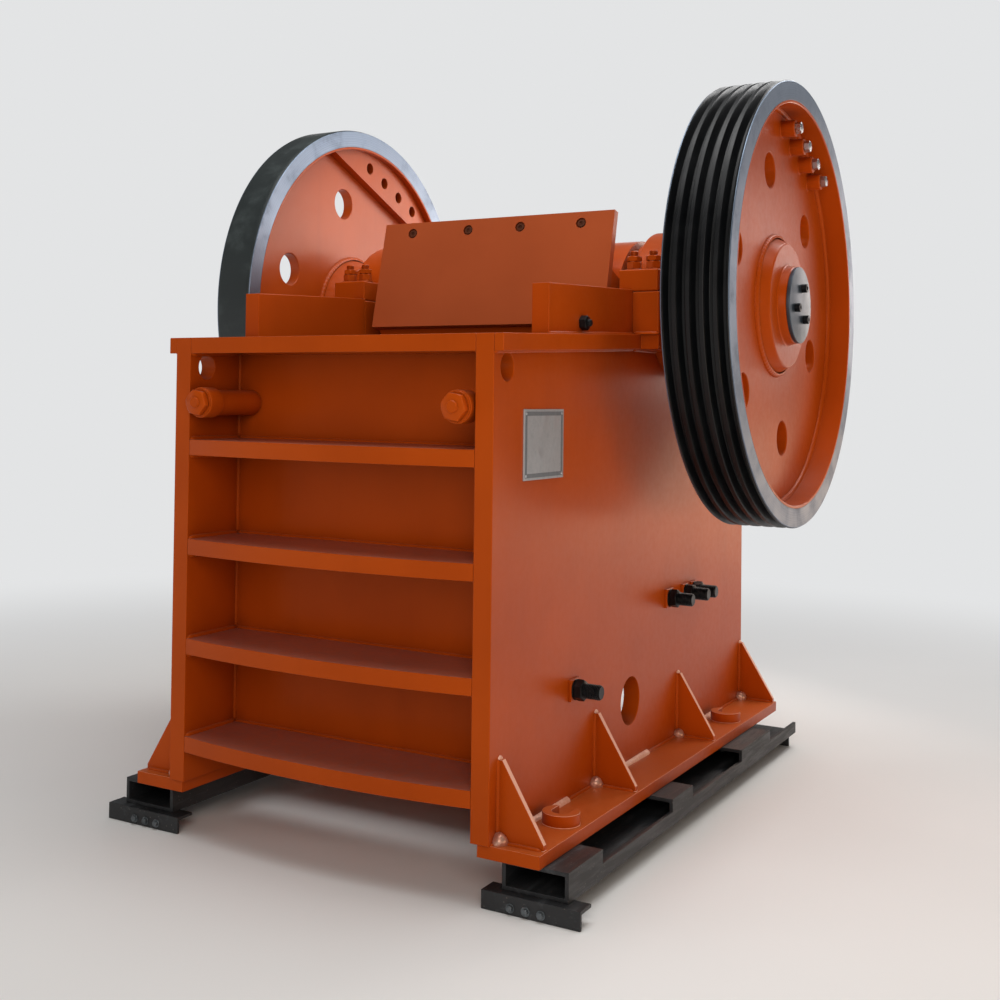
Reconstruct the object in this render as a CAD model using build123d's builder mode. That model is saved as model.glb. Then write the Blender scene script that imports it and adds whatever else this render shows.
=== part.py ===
from build123d import *
import math
import os

os.makedirs("parts", exist_ok=True)

# Driving sizes in millimetres. Places across the machine are counted from its middle, places
# along it from the front edges of the side plates, and heights from the top of the foot plates.
hands = {"right": 1, "left": -1}
eps = 1.0

# Side plates: their top edges climb from the front to the bearings
inner_half = 517.0
plate_thick = 58.0
plate_height = 1400.0
top_rise = 42.0
rear_reach = 810.0
lift_y = 80.0
lift_drop = 92.0
lift_r = 40.0
port_y = 993.0
port_z = 208.0
port_r = 80.0
side_flange_out = 30.0
shelf_out = 93.0

# Front wall and its ribs
wall_y = 246.0
wall_thick = 50.0
rib_shares = (0.77, 0.5457, 0.3214, 0.1021)
rib_thick = 50.0
rib_bow = 45.0

# Crushing chamber
mouth = 594.0
discharge = 114.0
jaw_foot = 190.0
jaw_thick = 85.0
fixed_thick = 90.0
fixed_drop = 30.0
fixed_below = 40.0
tooth_depth = 28.0
tooth_count = 10
tooth_shares = ((0.12, 0.0), (0.38, 1.0), (0.62, 1.0), (0.88, 0.0))
cheek_thick = 37.0
cheek_gap = 15.0
cheek_foot_lap = 170.0
cheek_top_lap = 85.0

# Shaft line
shaft_back = 390.0
shaft_rise = 155.0
throw = 15.0
weight_deg = 67.7
journal_r = 130.0
seat_r = 120.0
eccentric_r = 165.0
eccentric_lap = 12.0
journal_spare = 33.0
run_gap = 0.05

# Bearings
bearing_inset = 28.0
bearing_proud = 22.0
bearing_r = 245.0
cover_r = 205.0
cover_thick = 22.0
cap_r = 275.0
cap_inset = 5.0
pedestal_half = 385.0
pedestal_height = 146.0
cap_flange = 75.0

# Wheels
wheel_r = 767.0
rim_thick = 77.0
pulley_gap = 72.0
pulley_width = 218.0
pulley_recess = 85.0
groove_count = 5
groove_pitch = 43.0
groove_top = 30.0
groove_depth = 28.0
flywheel_gap = 32.0
flywheel_width = 150.0
flywheel_recess = 60.0
web_thick = 44.0
hub_r = 215.0
hub_root_r = 237.0
hub_step = 43.0
hub_inner_r = 205.0
hub_clear = 12.0
collar_r = 139.0
end_plate_r = 132.0
end_plate_thick = 12.0
end_bolts = 3
end_bolt_ring = 63.0
end_bolt_deg = 71.0
end_bolt_r = 15.0
end_bolt_height = 18.0
web_hole_r = 61.0
web_hole_share = 0.5143
web_hole_deg = 40.0
web_holes = 6
weight_rise = 153.0
weight_thick = 34.0
weight_bolt_set = 85.0
weight_bolt_pitch = 122.0
weight_bolts = 4
weight_hole_r = 24.0
boss_r = 30.0
boss_height = 50.0

# Swing jaw and the guard plate over it
head_r = 262.0
head_shares = (0.8, 0.6)
toe_run = 160.0
toe_drop = 90.0
heel_run = 70.0
heel_drop = 170.0
block_gap = 10.0
block_low = 100.0
block_high = 130.0
slab_thick = 110.0
pocket_start = 450.0
pocket_count = 4
pocket_rib = 40.0
neck_rise = 140.0
guard_side_gap = 43.0
guard_set = 13.0
guard_gap = 84.0
guard_top_back = 310.0
guard_top_rise = 328.0
guard_thick = 30.0
guard_lap = 16.0
guard_bolt_xs = (349.0, 108.0)
guard_bolt_drop = 42.0
guard_bolt_r = 19.0
guard_bolt_sink = 12.0

# Toggle and its seat
toggle_run = 425.0
toggle_up = 155.0
toggle_climb = 135.0
toggle_thick = 50.0
toggle_side_gap = 137.0
toggle_spare = 6.0
seat_depth = 340.0
seat_side_gap = 37.0
seat_below = 80.0
seat_above = 140.0

# Rear wall
rear_bay = 540.0
rear_wall_thick = 50.0
rear_foot = 250.0
rear_drop = 350.0
rear_ribs = 3
rear_rib_inset = 50.0

# Feet
foot_inset = 15.0
foot_out = 148.0
foot_thick = 38.0
foot_front = 12.0
gusset_front = 60.0
gusset_shares = (0.324, 0.661)
gusset_rear = 20.0
gusset_thick = 20.0
gusset_height = 227.0
gusset_top = 13.0
gusset_toe = 15.0
gusset_gap = 7.0
anchor_out = 75.0
anchor_front = 300.0
anchor_rear = 420.0
anchor_r = 21.0
lug_r = 55.0
lug_bore_r = 27.5
lug_height = 35.0

# Skid
rail_step = 74.0
rail_inset = 21.0
rail_height = 82.0
rail_front = 40.0
rail_spare = 20.0
rail_plate = 12.0
band_height = 42.0
pad_start_shares = (0.0, 0.3565, 0.6782)
pad_lengths = (225.0, 183.0, 345.0)
angle_lap = 48.0
angle_step = 30.0
angle_inset = 20.0
angle_height = 52.0
angle_leg = 70.0
angle_thick = 10.0

# Small fittings
bar_set = 52.0
bar_drop = 205.0
bar_r = 41.0
bar_proud = 12.0
bar_collar_r = 48.0
bar_collar = 60.0
name_y = 179.0
name_drop = 415.0
name_length = 261.0
name_height = 205.0
name_thick = 4.0
row_backs = (306.0, 142.0, 56.0)
row_rise = 32.0
washer_side = 66.0
washer_thick = 10.0
nut_r = 27.0
nut_height = 42.0
cheek_bolt_y = 533.0
cheek_bolt_z = 331.0
upstand_front = 340.0
upstand_height = 152.0

# Sizes that follow from the ones above
fixed_face = wall_y + wall_thick + fixed_thick
gape_top = (fixed_face + mouth, plate_height)
gape_foot = (fixed_face + discharge, jaw_foot)
shaft_y = gape_top[0] + shaft_back
shaft_z = plate_height + shaft_rise
plate_length = shaft_y + rear_reach
rear_top = plate_height + top_rise
outer_half = inner_half + plate_thick
foot_half = outer_half + foot_out
swing_half = inner_half - cheek_thick - cheek_gap
bearing_front = shaft_y - pedestal_half
pedestal_z = rear_top + pedestal_height
bearing_out = outer_half + shelf_out + bearing_proud
journal_half = bearing_out + cover_thick + journal_spare
pulley_in = journal_half + pulley_gap
pulley_out = pulley_in + pulley_width
flywheel_in = journal_half + flywheel_gap
flywheel_out = flywheel_in + flywheel_width
end_out = flywheel_out + end_plate_thick
rim_in_r = wheel_r - rim_thick
weight_chord = rim_in_r - weight_rise
seat_back = plate_length - rear_bay
toggle_front = (gape_foot[0] + toggle_run, gape_foot[1] + toggle_up)
toggle_rear = (seat_back - seat_depth, toggle_front[1] + toggle_climb)
anchor_x = outer_half + anchor_out
anchor_ys = (anchor_front, plate_length - anchor_rear)
rail_outer = foot_half + rail_step
rail_inner = outer_half + rail_inset
rail_rear = plate_length + rail_spare
rail_run = rail_rear - rail_front
rail_foot = -foot_thick - rail_height
ground = rail_foot - angle_height
mid_x = (end_out - pulley_out) / 2
front_y = -(rail_rear - rib_bow) / 2
foot_top = -ground
weight_angle = math.radians(weight_deg)
ecc_y = shaft_y - throw * math.cos(weight_angle)
ecc_z = shaft_z - throw * math.sin(weight_angle)
guard_foot = (gape_top[0] - guard_set, gape_top[1] + guard_gap)
guard_top = (shaft_y - guard_top_back, shaft_z + guard_top_rise)
guard_half = inner_half - guard_side_gap
low = (Align.MIN, Align.MIN)


def across(x):
    """A plane square to the shaft, drawn in lengths along the machine and heights."""
    return Plane(origin=(mid_x + x, front_y, foot_top), x_dir=(0, 1, 0), z_dir=(1, 0, 0))


def along(y):
    """A plane square to the machine's length that faces the front."""
    return Plane(origin=(mid_x, front_y + y, foot_top), x_dir=(1, 0, 0), z_dir=(0, -1, 0))


def level(z):
    """A level plane at a height."""
    return Plane(origin=(mid_x, front_y, foot_top + z))


def leaning(point, lean):
    """A plane square to a line that leans back from upright by an angle, at a point on it."""
    return Plane(
        origin=(mid_x, front_y + point[0], foot_top + point[1]),
        x_dir=(1, 0, 0),
        z_dir=(0, math.sin(lean), math.cos(lean)),
    )


def lean_of(foot, top):
    """The angle by which the line between two points leans back from upright."""
    return math.atan2(top[0] - foot[0], top[1] - foot[1])


def stepped(foot, lean, run, back):
    """The point a distance up a leaning line from its foot, and a distance behind it."""
    return (
        foot[0] + run * math.sin(lean) + back * math.cos(lean),
        foot[1] + run * math.cos(lean) - back * math.sin(lean),
    )


def top_line(y):
    """The height of the side plates' top edge, level behind the bearings' front."""
    return plate_height + top_rise * min(y / bearing_front, 1)


def turned(radius, degrees):
    """A point at a radius and an angle about the shaft, counted from the rear upwards."""
    angle = math.radians(degrees)
    return (shaft_y + radius * math.cos(angle), shaft_z + radius * math.sin(angle))


def teeth_across(half, face, rise):
    """Points of a row of flat-topped teeth that stand up from a face by a rise."""
    pitch = 2 * half / tooth_count
    points = [(-half, face)]
    for i in range(tooth_count):
        for place, lift in tooth_shares:
            points.append((-half + (i + place) * pitch, face + lift * rise))
    points.append((half, face))
    return points


shaft_plane = Plane(
    origin=(mid_x, front_y + shaft_y, foot_top + shaft_z), x_dir=(1, 0, 0), z_dir=(0, -1, 0)
)
shaft_axis = Axis(shaft_plane.origin, (1, 0, 0))
jaw_lean = lean_of(gape_foot, gape_top)
jaw_length = math.dist(gape_top, gape_foot)
guard_lean = lean_of(guard_foot, guard_top)
guard_length = math.dist(guard_top, guard_foot)
row_spots = [(seat_back - back, toggle_rear[1] + row_rise) for back in row_backs]
bolt_spots = row_spots + [(cheek_bolt_y, cheek_bolt_z)]
pad_spans = []
for share, length in zip(pad_start_shares, pad_lengths):
    start = rail_front + share * rail_run
    pad_spans.append((start, start + length))
gusset_ys = [gusset_front]
gusset_ys += [share * plate_length for share in gusset_shares]
gusset_ys += [plate_length - gusset_rear]

for hand, side in hands.items():
    # Side plate with its lifting hole, the round port and the seat cut for the bearing
    with BuildPart() as side_plate:
        with BuildSketch(across(side * inner_half)):
            with BuildLine():
                Polyline(
                    (0, 0),
                    (0, plate_height),
                    (bearing_front, rear_top),
                    (plate_length, rear_top),
                    (plate_length, 0),
                    close=True,
                )
            make_face()
            with Locations((shaft_y, shaft_z)):
                Circle(bearing_r, mode=Mode.SUBTRACT)
            with Locations((lift_y, plate_height - lift_drop)):
                Circle(lift_r, mode=Mode.SUBTRACT)
            with Locations((port_y, port_z)):
                Circle(port_r, mode=Mode.SUBTRACT)
        extrude(amount=side * plate_thick)
    side_plate.part.label = "side_plate_" + hand
    export_step(side_plate.part, "parts/side_plate_" + hand + ".step")

    # The bar along the top of the plate, widened to a shelf under the bearing
    with BuildPart() as side_flange:
        with BuildSketch(across(side * outer_half)):
            with BuildLine():
                Polyline(
                    (0, plate_height - rib_thick),
                    (0, plate_height),
                    (bearing_front, rear_top),
                    (plate_length, rear_top),
                    (plate_length, rear_top - rib_thick),
                    (bearing_front, rear_top - rib_thick),
                    close=True,
                )
            make_face()
        extrude(amount=side * side_flange_out)
        with BuildSketch(level(rear_top - rib_thick)):
            with Locations((side * (outer_half + shelf_out / 2), shaft_y)):
                Rectangle(shelf_out, 2 * pedestal_half)
        extrude(amount=rib_thick)
        with BuildSketch(across(side * outer_half)):
            with Locations((shaft_y, shaft_z)):
                Circle(bearing_r)
        extrude(amount=side * shelf_out, mode=Mode.SUBTRACT)
    side_flange.part.label = "side_flange_" + hand
    export_step(side_flange.part, "parts/side_flange_" + hand + ".step")

    # Foot plate with its four gussets and the two raised lugs round the anchor holes
    with BuildPart() as foot:
        foot_mid = (inner_half + foot_inset + foot_half) / 2
        foot_width = foot_half - inner_half - foot_inset
        foot_run = plate_length - foot_front
        with BuildSketch(level(-foot_thick)):
            with Locations((side * foot_mid, foot_front + foot_run / 2)):
                Rectangle(foot_width, foot_run)
        extrude(amount=foot_thick)
        for y in gusset_ys:
            with BuildSketch(along(y + gusset_thick / 2)):
                with BuildLine():
                    Polyline(
                        (side * outer_half, 0),
                        (side * (foot_half - gusset_gap), 0),
                        (side * (foot_half - gusset_gap), gusset_toe),
                        (side * (outer_half + gusset_top), gusset_height),
                        (side * outer_half, gusset_height),
                        close=True,
                    )
                make_face()
            extrude(amount=gusset_thick)
        for y in anchor_ys:
            with BuildSketch(level(0)):
                with Locations((side * anchor_x, y)):
                    Circle(lug_r)
                    Circle(lug_bore_r, mode=Mode.SUBTRACT)
                with Locations((side * anchor_x, y + lug_bore_r)):
                    Rectangle(2 * lug_bore_r, 2 * lug_bore_r, mode=Mode.SUBTRACT)
            extrude(amount=lug_height)
            with BuildSketch(level(-foot_thick)):
                with Locations((side * anchor_x, y)):
                    Circle(anchor_r)
            extrude(amount=foot_thick, mode=Mode.SUBTRACT)
    foot.part.label = "foot_" + hand
    export_step(foot.part, "parts/foot_" + hand + ".step")

    # The low upstand ahead of the bearing
    with BuildPart() as upstand:
        with BuildSketch(across(side * inner_half)):
            with BuildLine():
                Polyline(
                    (upstand_front, top_line(upstand_front)),
                    (upstand_front, top_line(upstand_front) + upstand_height),
                    (bearing_front, rear_top + upstand_height),
                    (bearing_front, rear_top),
                    close=True,
                )
            make_face()
        extrude(amount=side * plate_thick)
    upstand.part.label = "upstand_" + hand
    export_step(upstand.part, "parts/upstand_" + hand + ".step")

    # The pedestal blocks ahead of and behind the bearing
    with BuildPart() as pedestal:
        with BuildSketch(across(side * inner_half)):
            with Locations((bearing_front, rear_top)):
                Rectangle(2 * pedestal_half, pedestal_height, align=low)
            with Locations((shaft_y, shaft_z)):
                Circle(bearing_r, mode=Mode.SUBTRACT)
        extrude(amount=side * (plate_thick + shelf_out))
    pedestal.part.label = "pedestal_" + hand
    export_step(pedestal.part, "parts/pedestal_" + hand + ".step")

    # The bearing: a round body with a stepped outer cover, bored for the shaft
    with BuildPart() as bearing:
        with BuildSketch(shaft_plane):
            with BuildLine():
                bearing_in = inner_half - bearing_inset
                Polyline(
                    (side * bearing_in, journal_r + run_gap),
                    (side * bearing_in, bearing_r),
                    (side * bearing_out, bearing_r),
                    (side * bearing_out, cover_r),
                    (side * (bearing_out + cover_thick), cover_r),
                    (side * (bearing_out + cover_thick), journal_r + run_gap),
                    close=True,
                )
            make_face()
        revolve(axis=shaft_axis)
    bearing.part.label = "bearing_" + hand
    export_step(bearing.part, "parts/bearing_" + hand + ".step")

    # The cap over the bearing, round on top with a bolting flange at each side
    with BuildPart() as cap:
        cap_in = inner_half + cap_inset
        cap_out = outer_half + shelf_out - cap_inset
        with BuildSketch(across(side * cap_in)):
            with Locations((shaft_y, shaft_z)):
                Circle(cap_r)
            with Locations((shaft_y, pedestal_z + cap_flange / 2)):
                Rectangle(2 * pedestal_half, cap_flange)
            with Locations((shaft_y, pedestal_z - cap_r)):
                Rectangle(2 * pedestal_half, 2 * cap_r, mode=Mode.SUBTRACT)
            with Locations((shaft_y, shaft_z)):
                Circle(bearing_r, mode=Mode.SUBTRACT)
        extrude(amount=side * (cap_out - cap_in))
    cap.part.label = "bearing_cap_" + hand
    export_step(cap.part, "parts/bearing_cap_" + hand + ".step")

    # Round bar in the upper bay, from ahead of the plates back to the wall, with a collar
    with BuildPart() as bar:
        bar_spot = (side * (inner_half - bar_set), plate_height - bar_drop)
        with BuildSketch(along(wall_y)):
            with Locations(bar_spot):
                Circle(bar_r)
        extrude(amount=wall_y + bar_proud)
        with BuildSketch(along(bar_collar - bar_proud)):
            with Locations(bar_spot):
                Circle(bar_collar_r)
        extrude(amount=bar_collar)
    bar.part.label = "front_bar_" + hand
    export_step(bar.part, "parts/front_bar_" + hand + ".step")

    # The hard liner inside the side plate
    with BuildPart() as cheek:
        with BuildSketch(across(side * (inner_half - cheek_thick))):
            with BuildLine():
                Polyline(
                    (fixed_face + eps, jaw_foot),
                    (gape_foot[0] + cheek_foot_lap, jaw_foot),
                    (gape_top[0] + cheek_top_lap, plate_height - fixed_drop),
                    (fixed_face + eps, plate_height - fixed_drop),
                    close=True,
                )
            make_face()
        extrude(amount=side * cheek_thick)
    cheek.part.label = "cheek_plate_" + hand
    export_step(cheek.part, "parts/cheek_plate_" + hand + ".step")

    # Nuts on square washers outside the side plate: a row for the toggle seat, one for the liner
    with BuildPart() as bolts:
        with BuildSketch(across(side * outer_half)):
            with Locations(*bolt_spots):
                Rectangle(washer_side, washer_side)
        extrude(amount=side * washer_thick)
        with BuildSketch(across(side * (outer_half + washer_thick))):
            with Locations(*bolt_spots):
                RegularPolygon(nut_r, 6)
        extrude(amount=side * nut_height)
    bolts.part.label = "side_bolts_" + hand
    export_step(bolts.part, "parts/side_bolts_" + hand + ".step")

    # Skid rail: a base strip, an inner web, a low outer band and three raised pads
    with BuildPart() as rail:
        rail_mid = (rail_inner + rail_outer) / 2
        rail_width = rail_outer - rail_inner
        with BuildSketch(level(rail_foot)):
            with Locations((side * rail_mid, rail_front + rail_run / 2)):
                Rectangle(rail_width, rail_run)
        extrude(amount=rail_plate)
        with BuildSketch(level(rail_foot)):
            with Locations((side * (rail_inner + rail_plate / 2), rail_front + rail_run / 2)):
                Rectangle(rail_plate, rail_run)
        extrude(amount=rail_height)
        with BuildSketch(level(rail_foot)):
            with Locations((side * (rail_outer - rail_plate / 2), rail_front + rail_run / 2)):
                Rectangle(rail_plate, rail_run)
        extrude(amount=band_height)
        for start, end in pad_spans:
            with BuildSketch(level(rail_foot)):
                with Locations((side * (rail_outer - rail_plate / 2), (start + end) / 2)):
                    Rectangle(rail_plate, end - start)
                with Locations((side * rail_mid, end - rail_plate / 2)):
                    Rectangle(rail_width, rail_plate)
            extrude(amount=rail_height)
            with BuildSketch(level(-foot_thick - rail_plate)):
                with Locations((side * rail_mid, (start + end) / 2)):
                    Rectangle(rail_width, end - start)
            extrude(amount=rail_plate)
        with BuildSketch(level(-foot_thick - rail_plate)):
            with Locations(*[(side * anchor_x, y) for y in anchor_ys]):
                Circle(anchor_r)
        extrude(amount=rail_plate, mode=Mode.SUBTRACT)
    rail.part.label = "skid_rail_" + hand
    export_step(rail.part, "parts/skid_rail_" + hand + ".step")

# Front wall behind the ribs, closed at the top by the flange that carries the upper edge
slope = math.atan2(top_rise, bearing_front)
wall_back = wall_y + wall_thick
wall_foot = rib_shares[-1] * plate_height - rib_thick
with BuildPart() as front_wall:
    with BuildSketch(across(-inner_half)):
        with BuildLine():
            Polyline(
                (wall_y, wall_foot),
                (wall_y, top_line(wall_y) - rib_thick),
                (wall_back, top_line(wall_back) - rib_thick),
                (wall_back, wall_foot),
                close=True,
            )
        make_face()
    extrude(amount=2 * inner_half)
front_wall.part.label = "front_wall"
export_step(front_wall.part, "parts/front_wall.step")

with BuildPart() as top_flange:
    with BuildSketch(across(-inner_half)):
        with BuildLine():
            Polyline(
                (0, plate_height - rib_thick),
                (0, plate_height),
                (wall_back, top_line(wall_back)),
                (wall_back, top_line(wall_back) - rib_thick),
                close=True,
            )
        make_face()
    extrude(amount=2 * inner_half)
top_flange.part.label = "front_top_flange"
export_step(top_flange.part, "parts/front_top_flange.step")

# Four ribs across the front, each bowed forward between the side plates
with BuildPart() as front_ribs:
    for share in rib_shares:
        with BuildSketch(level(share * plate_height - rib_thick)):
            with BuildLine():
                ThreePointArc((-inner_half, 0), (0, -rib_bow), (inner_half, 0))
                Polyline((inner_half, 0), (inner_half, wall_y), (-inner_half, wall_y), (-inner_half, 0))
            make_face()
        extrude(amount=rib_thick)
front_ribs.part.label = "front_ribs"
export_step(front_ribs.part, "parts/front_ribs.step")

# Rear wall with its level ribs
with BuildPart() as rear_wall:
    rear_wall_top = plate_height - rear_drop
    with BuildSketch(along(seat_back + rear_wall_thick)):
        with Locations((-inner_half, rear_foot)):
            Rectangle(2 * inner_half, rear_wall_top - rear_foot, align=low)
    extrude(amount=rear_wall_thick)
    rib_step = (rear_wall_top - rear_foot - rib_thick) / (rear_ribs - 1)
    rib_reach = plate_length - rear_rib_inset - seat_back - rear_wall_thick
    for i in range(rear_ribs):
        with BuildSketch(level(rear_foot + i * rib_step)):
            with Locations((-inner_half, seat_back + rear_wall_thick)):
                Rectangle(2 * inner_half, rib_reach, align=low)
        extrude(amount=rib_thick)
rear_wall.part.label = "rear_wall"
export_step(rear_wall.part, "parts/rear_wall.step")

# Toggle plate with rounded ends, and the hollowed seat that it leans on at the rear
toggle_half = inner_half - toggle_side_gap
toggle_rise = math.atan2(toggle_rear[1] - toggle_front[1], toggle_rear[0] - toggle_front[0])
with BuildPart() as toggle:
    with BuildSketch(across(-toggle_half)):
        with Locations(toggle_front, toggle_rear):
            Circle(toggle_thick / 2)
        middle = [(a + b) / 2 for a, b in zip(toggle_front, toggle_rear)]
        with Locations(Location((middle[0], middle[1]), math.degrees(toggle_rise))):
            Rectangle(math.dist(toggle_front, toggle_rear), toggle_thick)
    extrude(amount=2 * toggle_half)
toggle.part.label = "toggle_plate"
export_step(toggle.part, "parts/toggle_plate.step")

seat_front = toggle_rear[0] + toggle_thick / 2 * math.sin(toggle_rise) + eps
seat_foot = toggle_rear[1] - seat_below
with BuildPart() as toggle_seat:
    with BuildSketch(across(seat_side_gap - inner_half)):
        with Locations((seat_front, seat_foot)):
            Rectangle(seat_back - seat_front, seat_below + seat_above, align=low)
        with Locations(toggle_rear):
            Circle(toggle_thick / 2, mode=Mode.SUBTRACT)
    extrude(amount=2 * (inner_half - seat_side_gap))
toggle_seat.part.label = "toggle_seat"
export_step(toggle_seat.part, "parts/toggle_seat.step")

# Fixed jaw plate, ridged on the face towards the chamber
with BuildPart() as fixed_jaw:
    with BuildSketch(level(jaw_foot - fixed_below)):
        with BuildLine():
            Polyline(
                (-swing_half, wall_back),
                *teeth_across(swing_half, fixed_face - tooth_depth, tooth_depth),
                (swing_half, wall_back),
                close=True,
            )
        make_face()
    extrude(amount=plate_height - fixed_drop - jaw_foot + fixed_below)
fixed_jaw.part.label = "fixed_jaw_plate"
export_step(fixed_jaw.part, "parts/fixed_jaw_plate.step")

# Movable jaw plate, ridged along the face towards the chamber
with BuildPart() as movable_jaw:
    with BuildSketch(leaning(gape_foot, jaw_lean)):
        with BuildLine():
            Polyline(
                (-swing_half, jaw_thick),
                *teeth_across(swing_half, tooth_depth, -tooth_depth),
                (swing_half, jaw_thick),
                close=True,
            )
        make_face()
    extrude(amount=jaw_length)
movable_jaw.part.label = "movable_jaw_plate"
export_step(movable_jaw.part, "parts/movable_jaw_plate.step")

# Swing jaw: the bored head and the body that hangs from it, hollowed at the back between ribs
guard_seat = stepped(guard_foot, guard_lean, guard_lap, guard_thick)
neck_run = (ecc_z + neck_rise - guard_seat[1]) / math.cos(guard_lean) + guard_lap
pocket_width = (2 * swing_half - (pocket_count + 1) * pocket_rib) / pocket_count
with BuildPart() as swing_jaw:
    with BuildSketch(across(-swing_half)):
        with BuildLine():
            plate_back = stepped(gape_foot, jaw_lean, 0, jaw_thick)
            block_face = toggle_front[0] - block_gap
            Polyline(
                plate_back,
                (plate_back[0] + toe_run, gape_foot[1] - toe_drop),
                (toggle_front[0] - heel_run, toggle_front[1] - heel_drop),
                (block_face, toggle_front[1] - block_low),
                (block_face, toggle_front[1] + block_high),
                (ecc_y + head_r * head_shares[0], ecc_z - head_r * head_shares[1]),
                (ecc_y, ecc_z),
                stepped(guard_foot, guard_lean, neck_run, guard_thick),
                guard_seat,
                stepped(gape_foot, jaw_lean, jaw_length, jaw_thick),
                close=True,
            )
        make_face()
        with Locations((ecc_y, ecc_z)):
            Circle(head_r)
        with Locations((ecc_y, ecc_z)):
            Circle(eccentric_r + run_gap, mode=Mode.SUBTRACT)
        with Locations(toggle_front):
            Circle(toggle_thick / 2 + 2 * throw + toggle_spare, mode=Mode.SUBTRACT)
    extrude(amount=2 * swing_half)
    for i in range(pocket_count):
        pocket_x = -swing_half + pocket_rib + i * (pocket_width + pocket_rib)
        with BuildSketch(across(pocket_x)):
            with BuildLine():
                pocket_foot = stepped(gape_foot, jaw_lean, pocket_start, jaw_thick + slab_thick)
                Polyline(
                    pocket_foot,
                    stepped(gape_foot, jaw_lean, jaw_length, jaw_thick + slab_thick),
                    (ecc_y, ecc_z),
                    (ecc_y + head_r, ecc_z),
                    (ecc_y + head_r, pocket_foot[1]),
                    close=True,
                )
            make_face()
            with Locations((ecc_y, ecc_z)):
                Circle(head_r, mode=Mode.SUBTRACT)
        extrude(amount=pocket_width, mode=Mode.SUBTRACT)
swing_jaw.part.label = "swing_jaw"
export_step(swing_jaw.part, "parts/swing_jaw.step")

# The guard plate that leans back over the head of the swing jaw, with four sunk bolt holes
with BuildPart() as guard:
    with BuildSketch(leaning(guard_foot, guard_lean)):
        with Locations((-guard_half, 0)):
            Rectangle(2 * guard_half, guard_thick, align=low)
    extrude(amount=guard_length)
    guard_face = Plane(
        origin=leaning(guard_foot, guard_lean).origin,
        x_dir=(1, 0, 0),
        z_dir=(0, -math.cos(guard_lean), math.sin(guard_lean)),
    )
    with BuildSketch(guard_face):
        for x in guard_bolt_xs:
            with Locations((-x, guard_length - guard_bolt_drop), (x, guard_length - guard_bolt_drop)):
                Circle(guard_bolt_r)
    extrude(amount=-guard_bolt_sink, mode=Mode.SUBTRACT)
guard.part.label = "guard_plate"
export_step(guard.part, "parts/guard_plate.step")

# Name plate, left blank
with BuildPart() as name_plate:
    with BuildSketch(across(outer_half)):
        with Locations((name_y, plate_height - name_drop)):
            Rectangle(name_length, name_height, align=low)
    extrude(amount=name_thick)
name_plate.part.label = "name_plate"
export_step(name_plate.part, "parts/name_plate.step")

# Short angle pieces that carry the ends of both rails. Those at the front stand ahead of the
# rails and past them at both sides, those at the rear stay inside the rails' outline.
angle_spans = {
    "front": (rail_front - angle_step, 1, rail_outer + angle_lap),
    "rear": (rail_rear - angle_inset, -1, rail_outer - angle_inset),
}
for end, (face, back, far) in angle_spans.items():
    near = rail_inner - angle_lap
    with BuildPart() as angles:
        for side in hands.values():
            with BuildSketch(across(side * near)):
                with BuildLine():
                    Polyline(
                        (face, ground),
                        (face, rail_foot),
                        (face + back * angle_leg, rail_foot),
                        (face + back * angle_leg, rail_foot - angle_thick),
                        (face + back * angle_thick, rail_foot - angle_thick),
                        (face + back * angle_thick, ground),
                        close=True,
                    )
                make_face()
            extrude(amount=side * (far - near))
    angles.part.label = "skid_member_" + end
    export_step(angles.part, "parts/skid_member_" + end + ".step")

# Eccentric shaft: journals and wheel seats on one axis, the middle thrown off it
eccentric_half = swing_half + eccentric_lap
with BuildPart() as shaft:
    with BuildSketch(across(-journal_half)):
        with Locations((shaft_y, shaft_z)):
            Circle(journal_r)
    extrude(amount=2 * journal_half)
    with BuildSketch(across(-flywheel_out)):
        with Locations((shaft_y, shaft_z)):
            Circle(seat_r)
    extrude(amount=flywheel_out + pulley_out - end_plate_thick)
    with BuildSketch(across(-eccentric_half)):
        with Locations((ecc_y, ecc_z)):
            Circle(eccentric_r)
    extrude(amount=2 * eccentric_half)
shaft.part.label = "eccentric_shaft"
export_step(shaft.part, "parts/eccentric_shaft.step")

# Pulley rim with its belt grooves
with BuildPart() as pulley_rim:
    with BuildSketch(shaft_plane):
        with BuildLine():
            points = [(pulley_in, rim_in_r), (pulley_in, wheel_r)]
            first = pulley_in + pulley_width / 2 - (groove_count - 1) * groove_pitch / 2
            for i in range(groove_count):
                centre = first + i * groove_pitch
                points.append((centre - groove_top / 2, wheel_r))
                points.append((centre, wheel_r - groove_depth))
                points.append((centre + groove_top / 2, wheel_r))
            points.append((pulley_out, wheel_r))
            points.append((pulley_out, rim_in_r))
            Polyline(*points, close=True)
        make_face()
    revolve(axis=shaft_axis)
pulley_rim.part.label = "pulley_rim"
export_step(pulley_rim.part, "parts/pulley_rim.step")

with BuildPart() as flywheel_rim:
    with BuildSketch(shaft_plane):
        with Locations((-flywheel_in - flywheel_width / 2, wheel_r - rim_thick / 2)):
            Rectangle(flywheel_width, rim_thick)
    revolve(axis=shaft_axis)
flywheel_rim.part.label = "flywheel_rim"
export_step(flywheel_rim.part, "parts/flywheel_rim.step")

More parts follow.
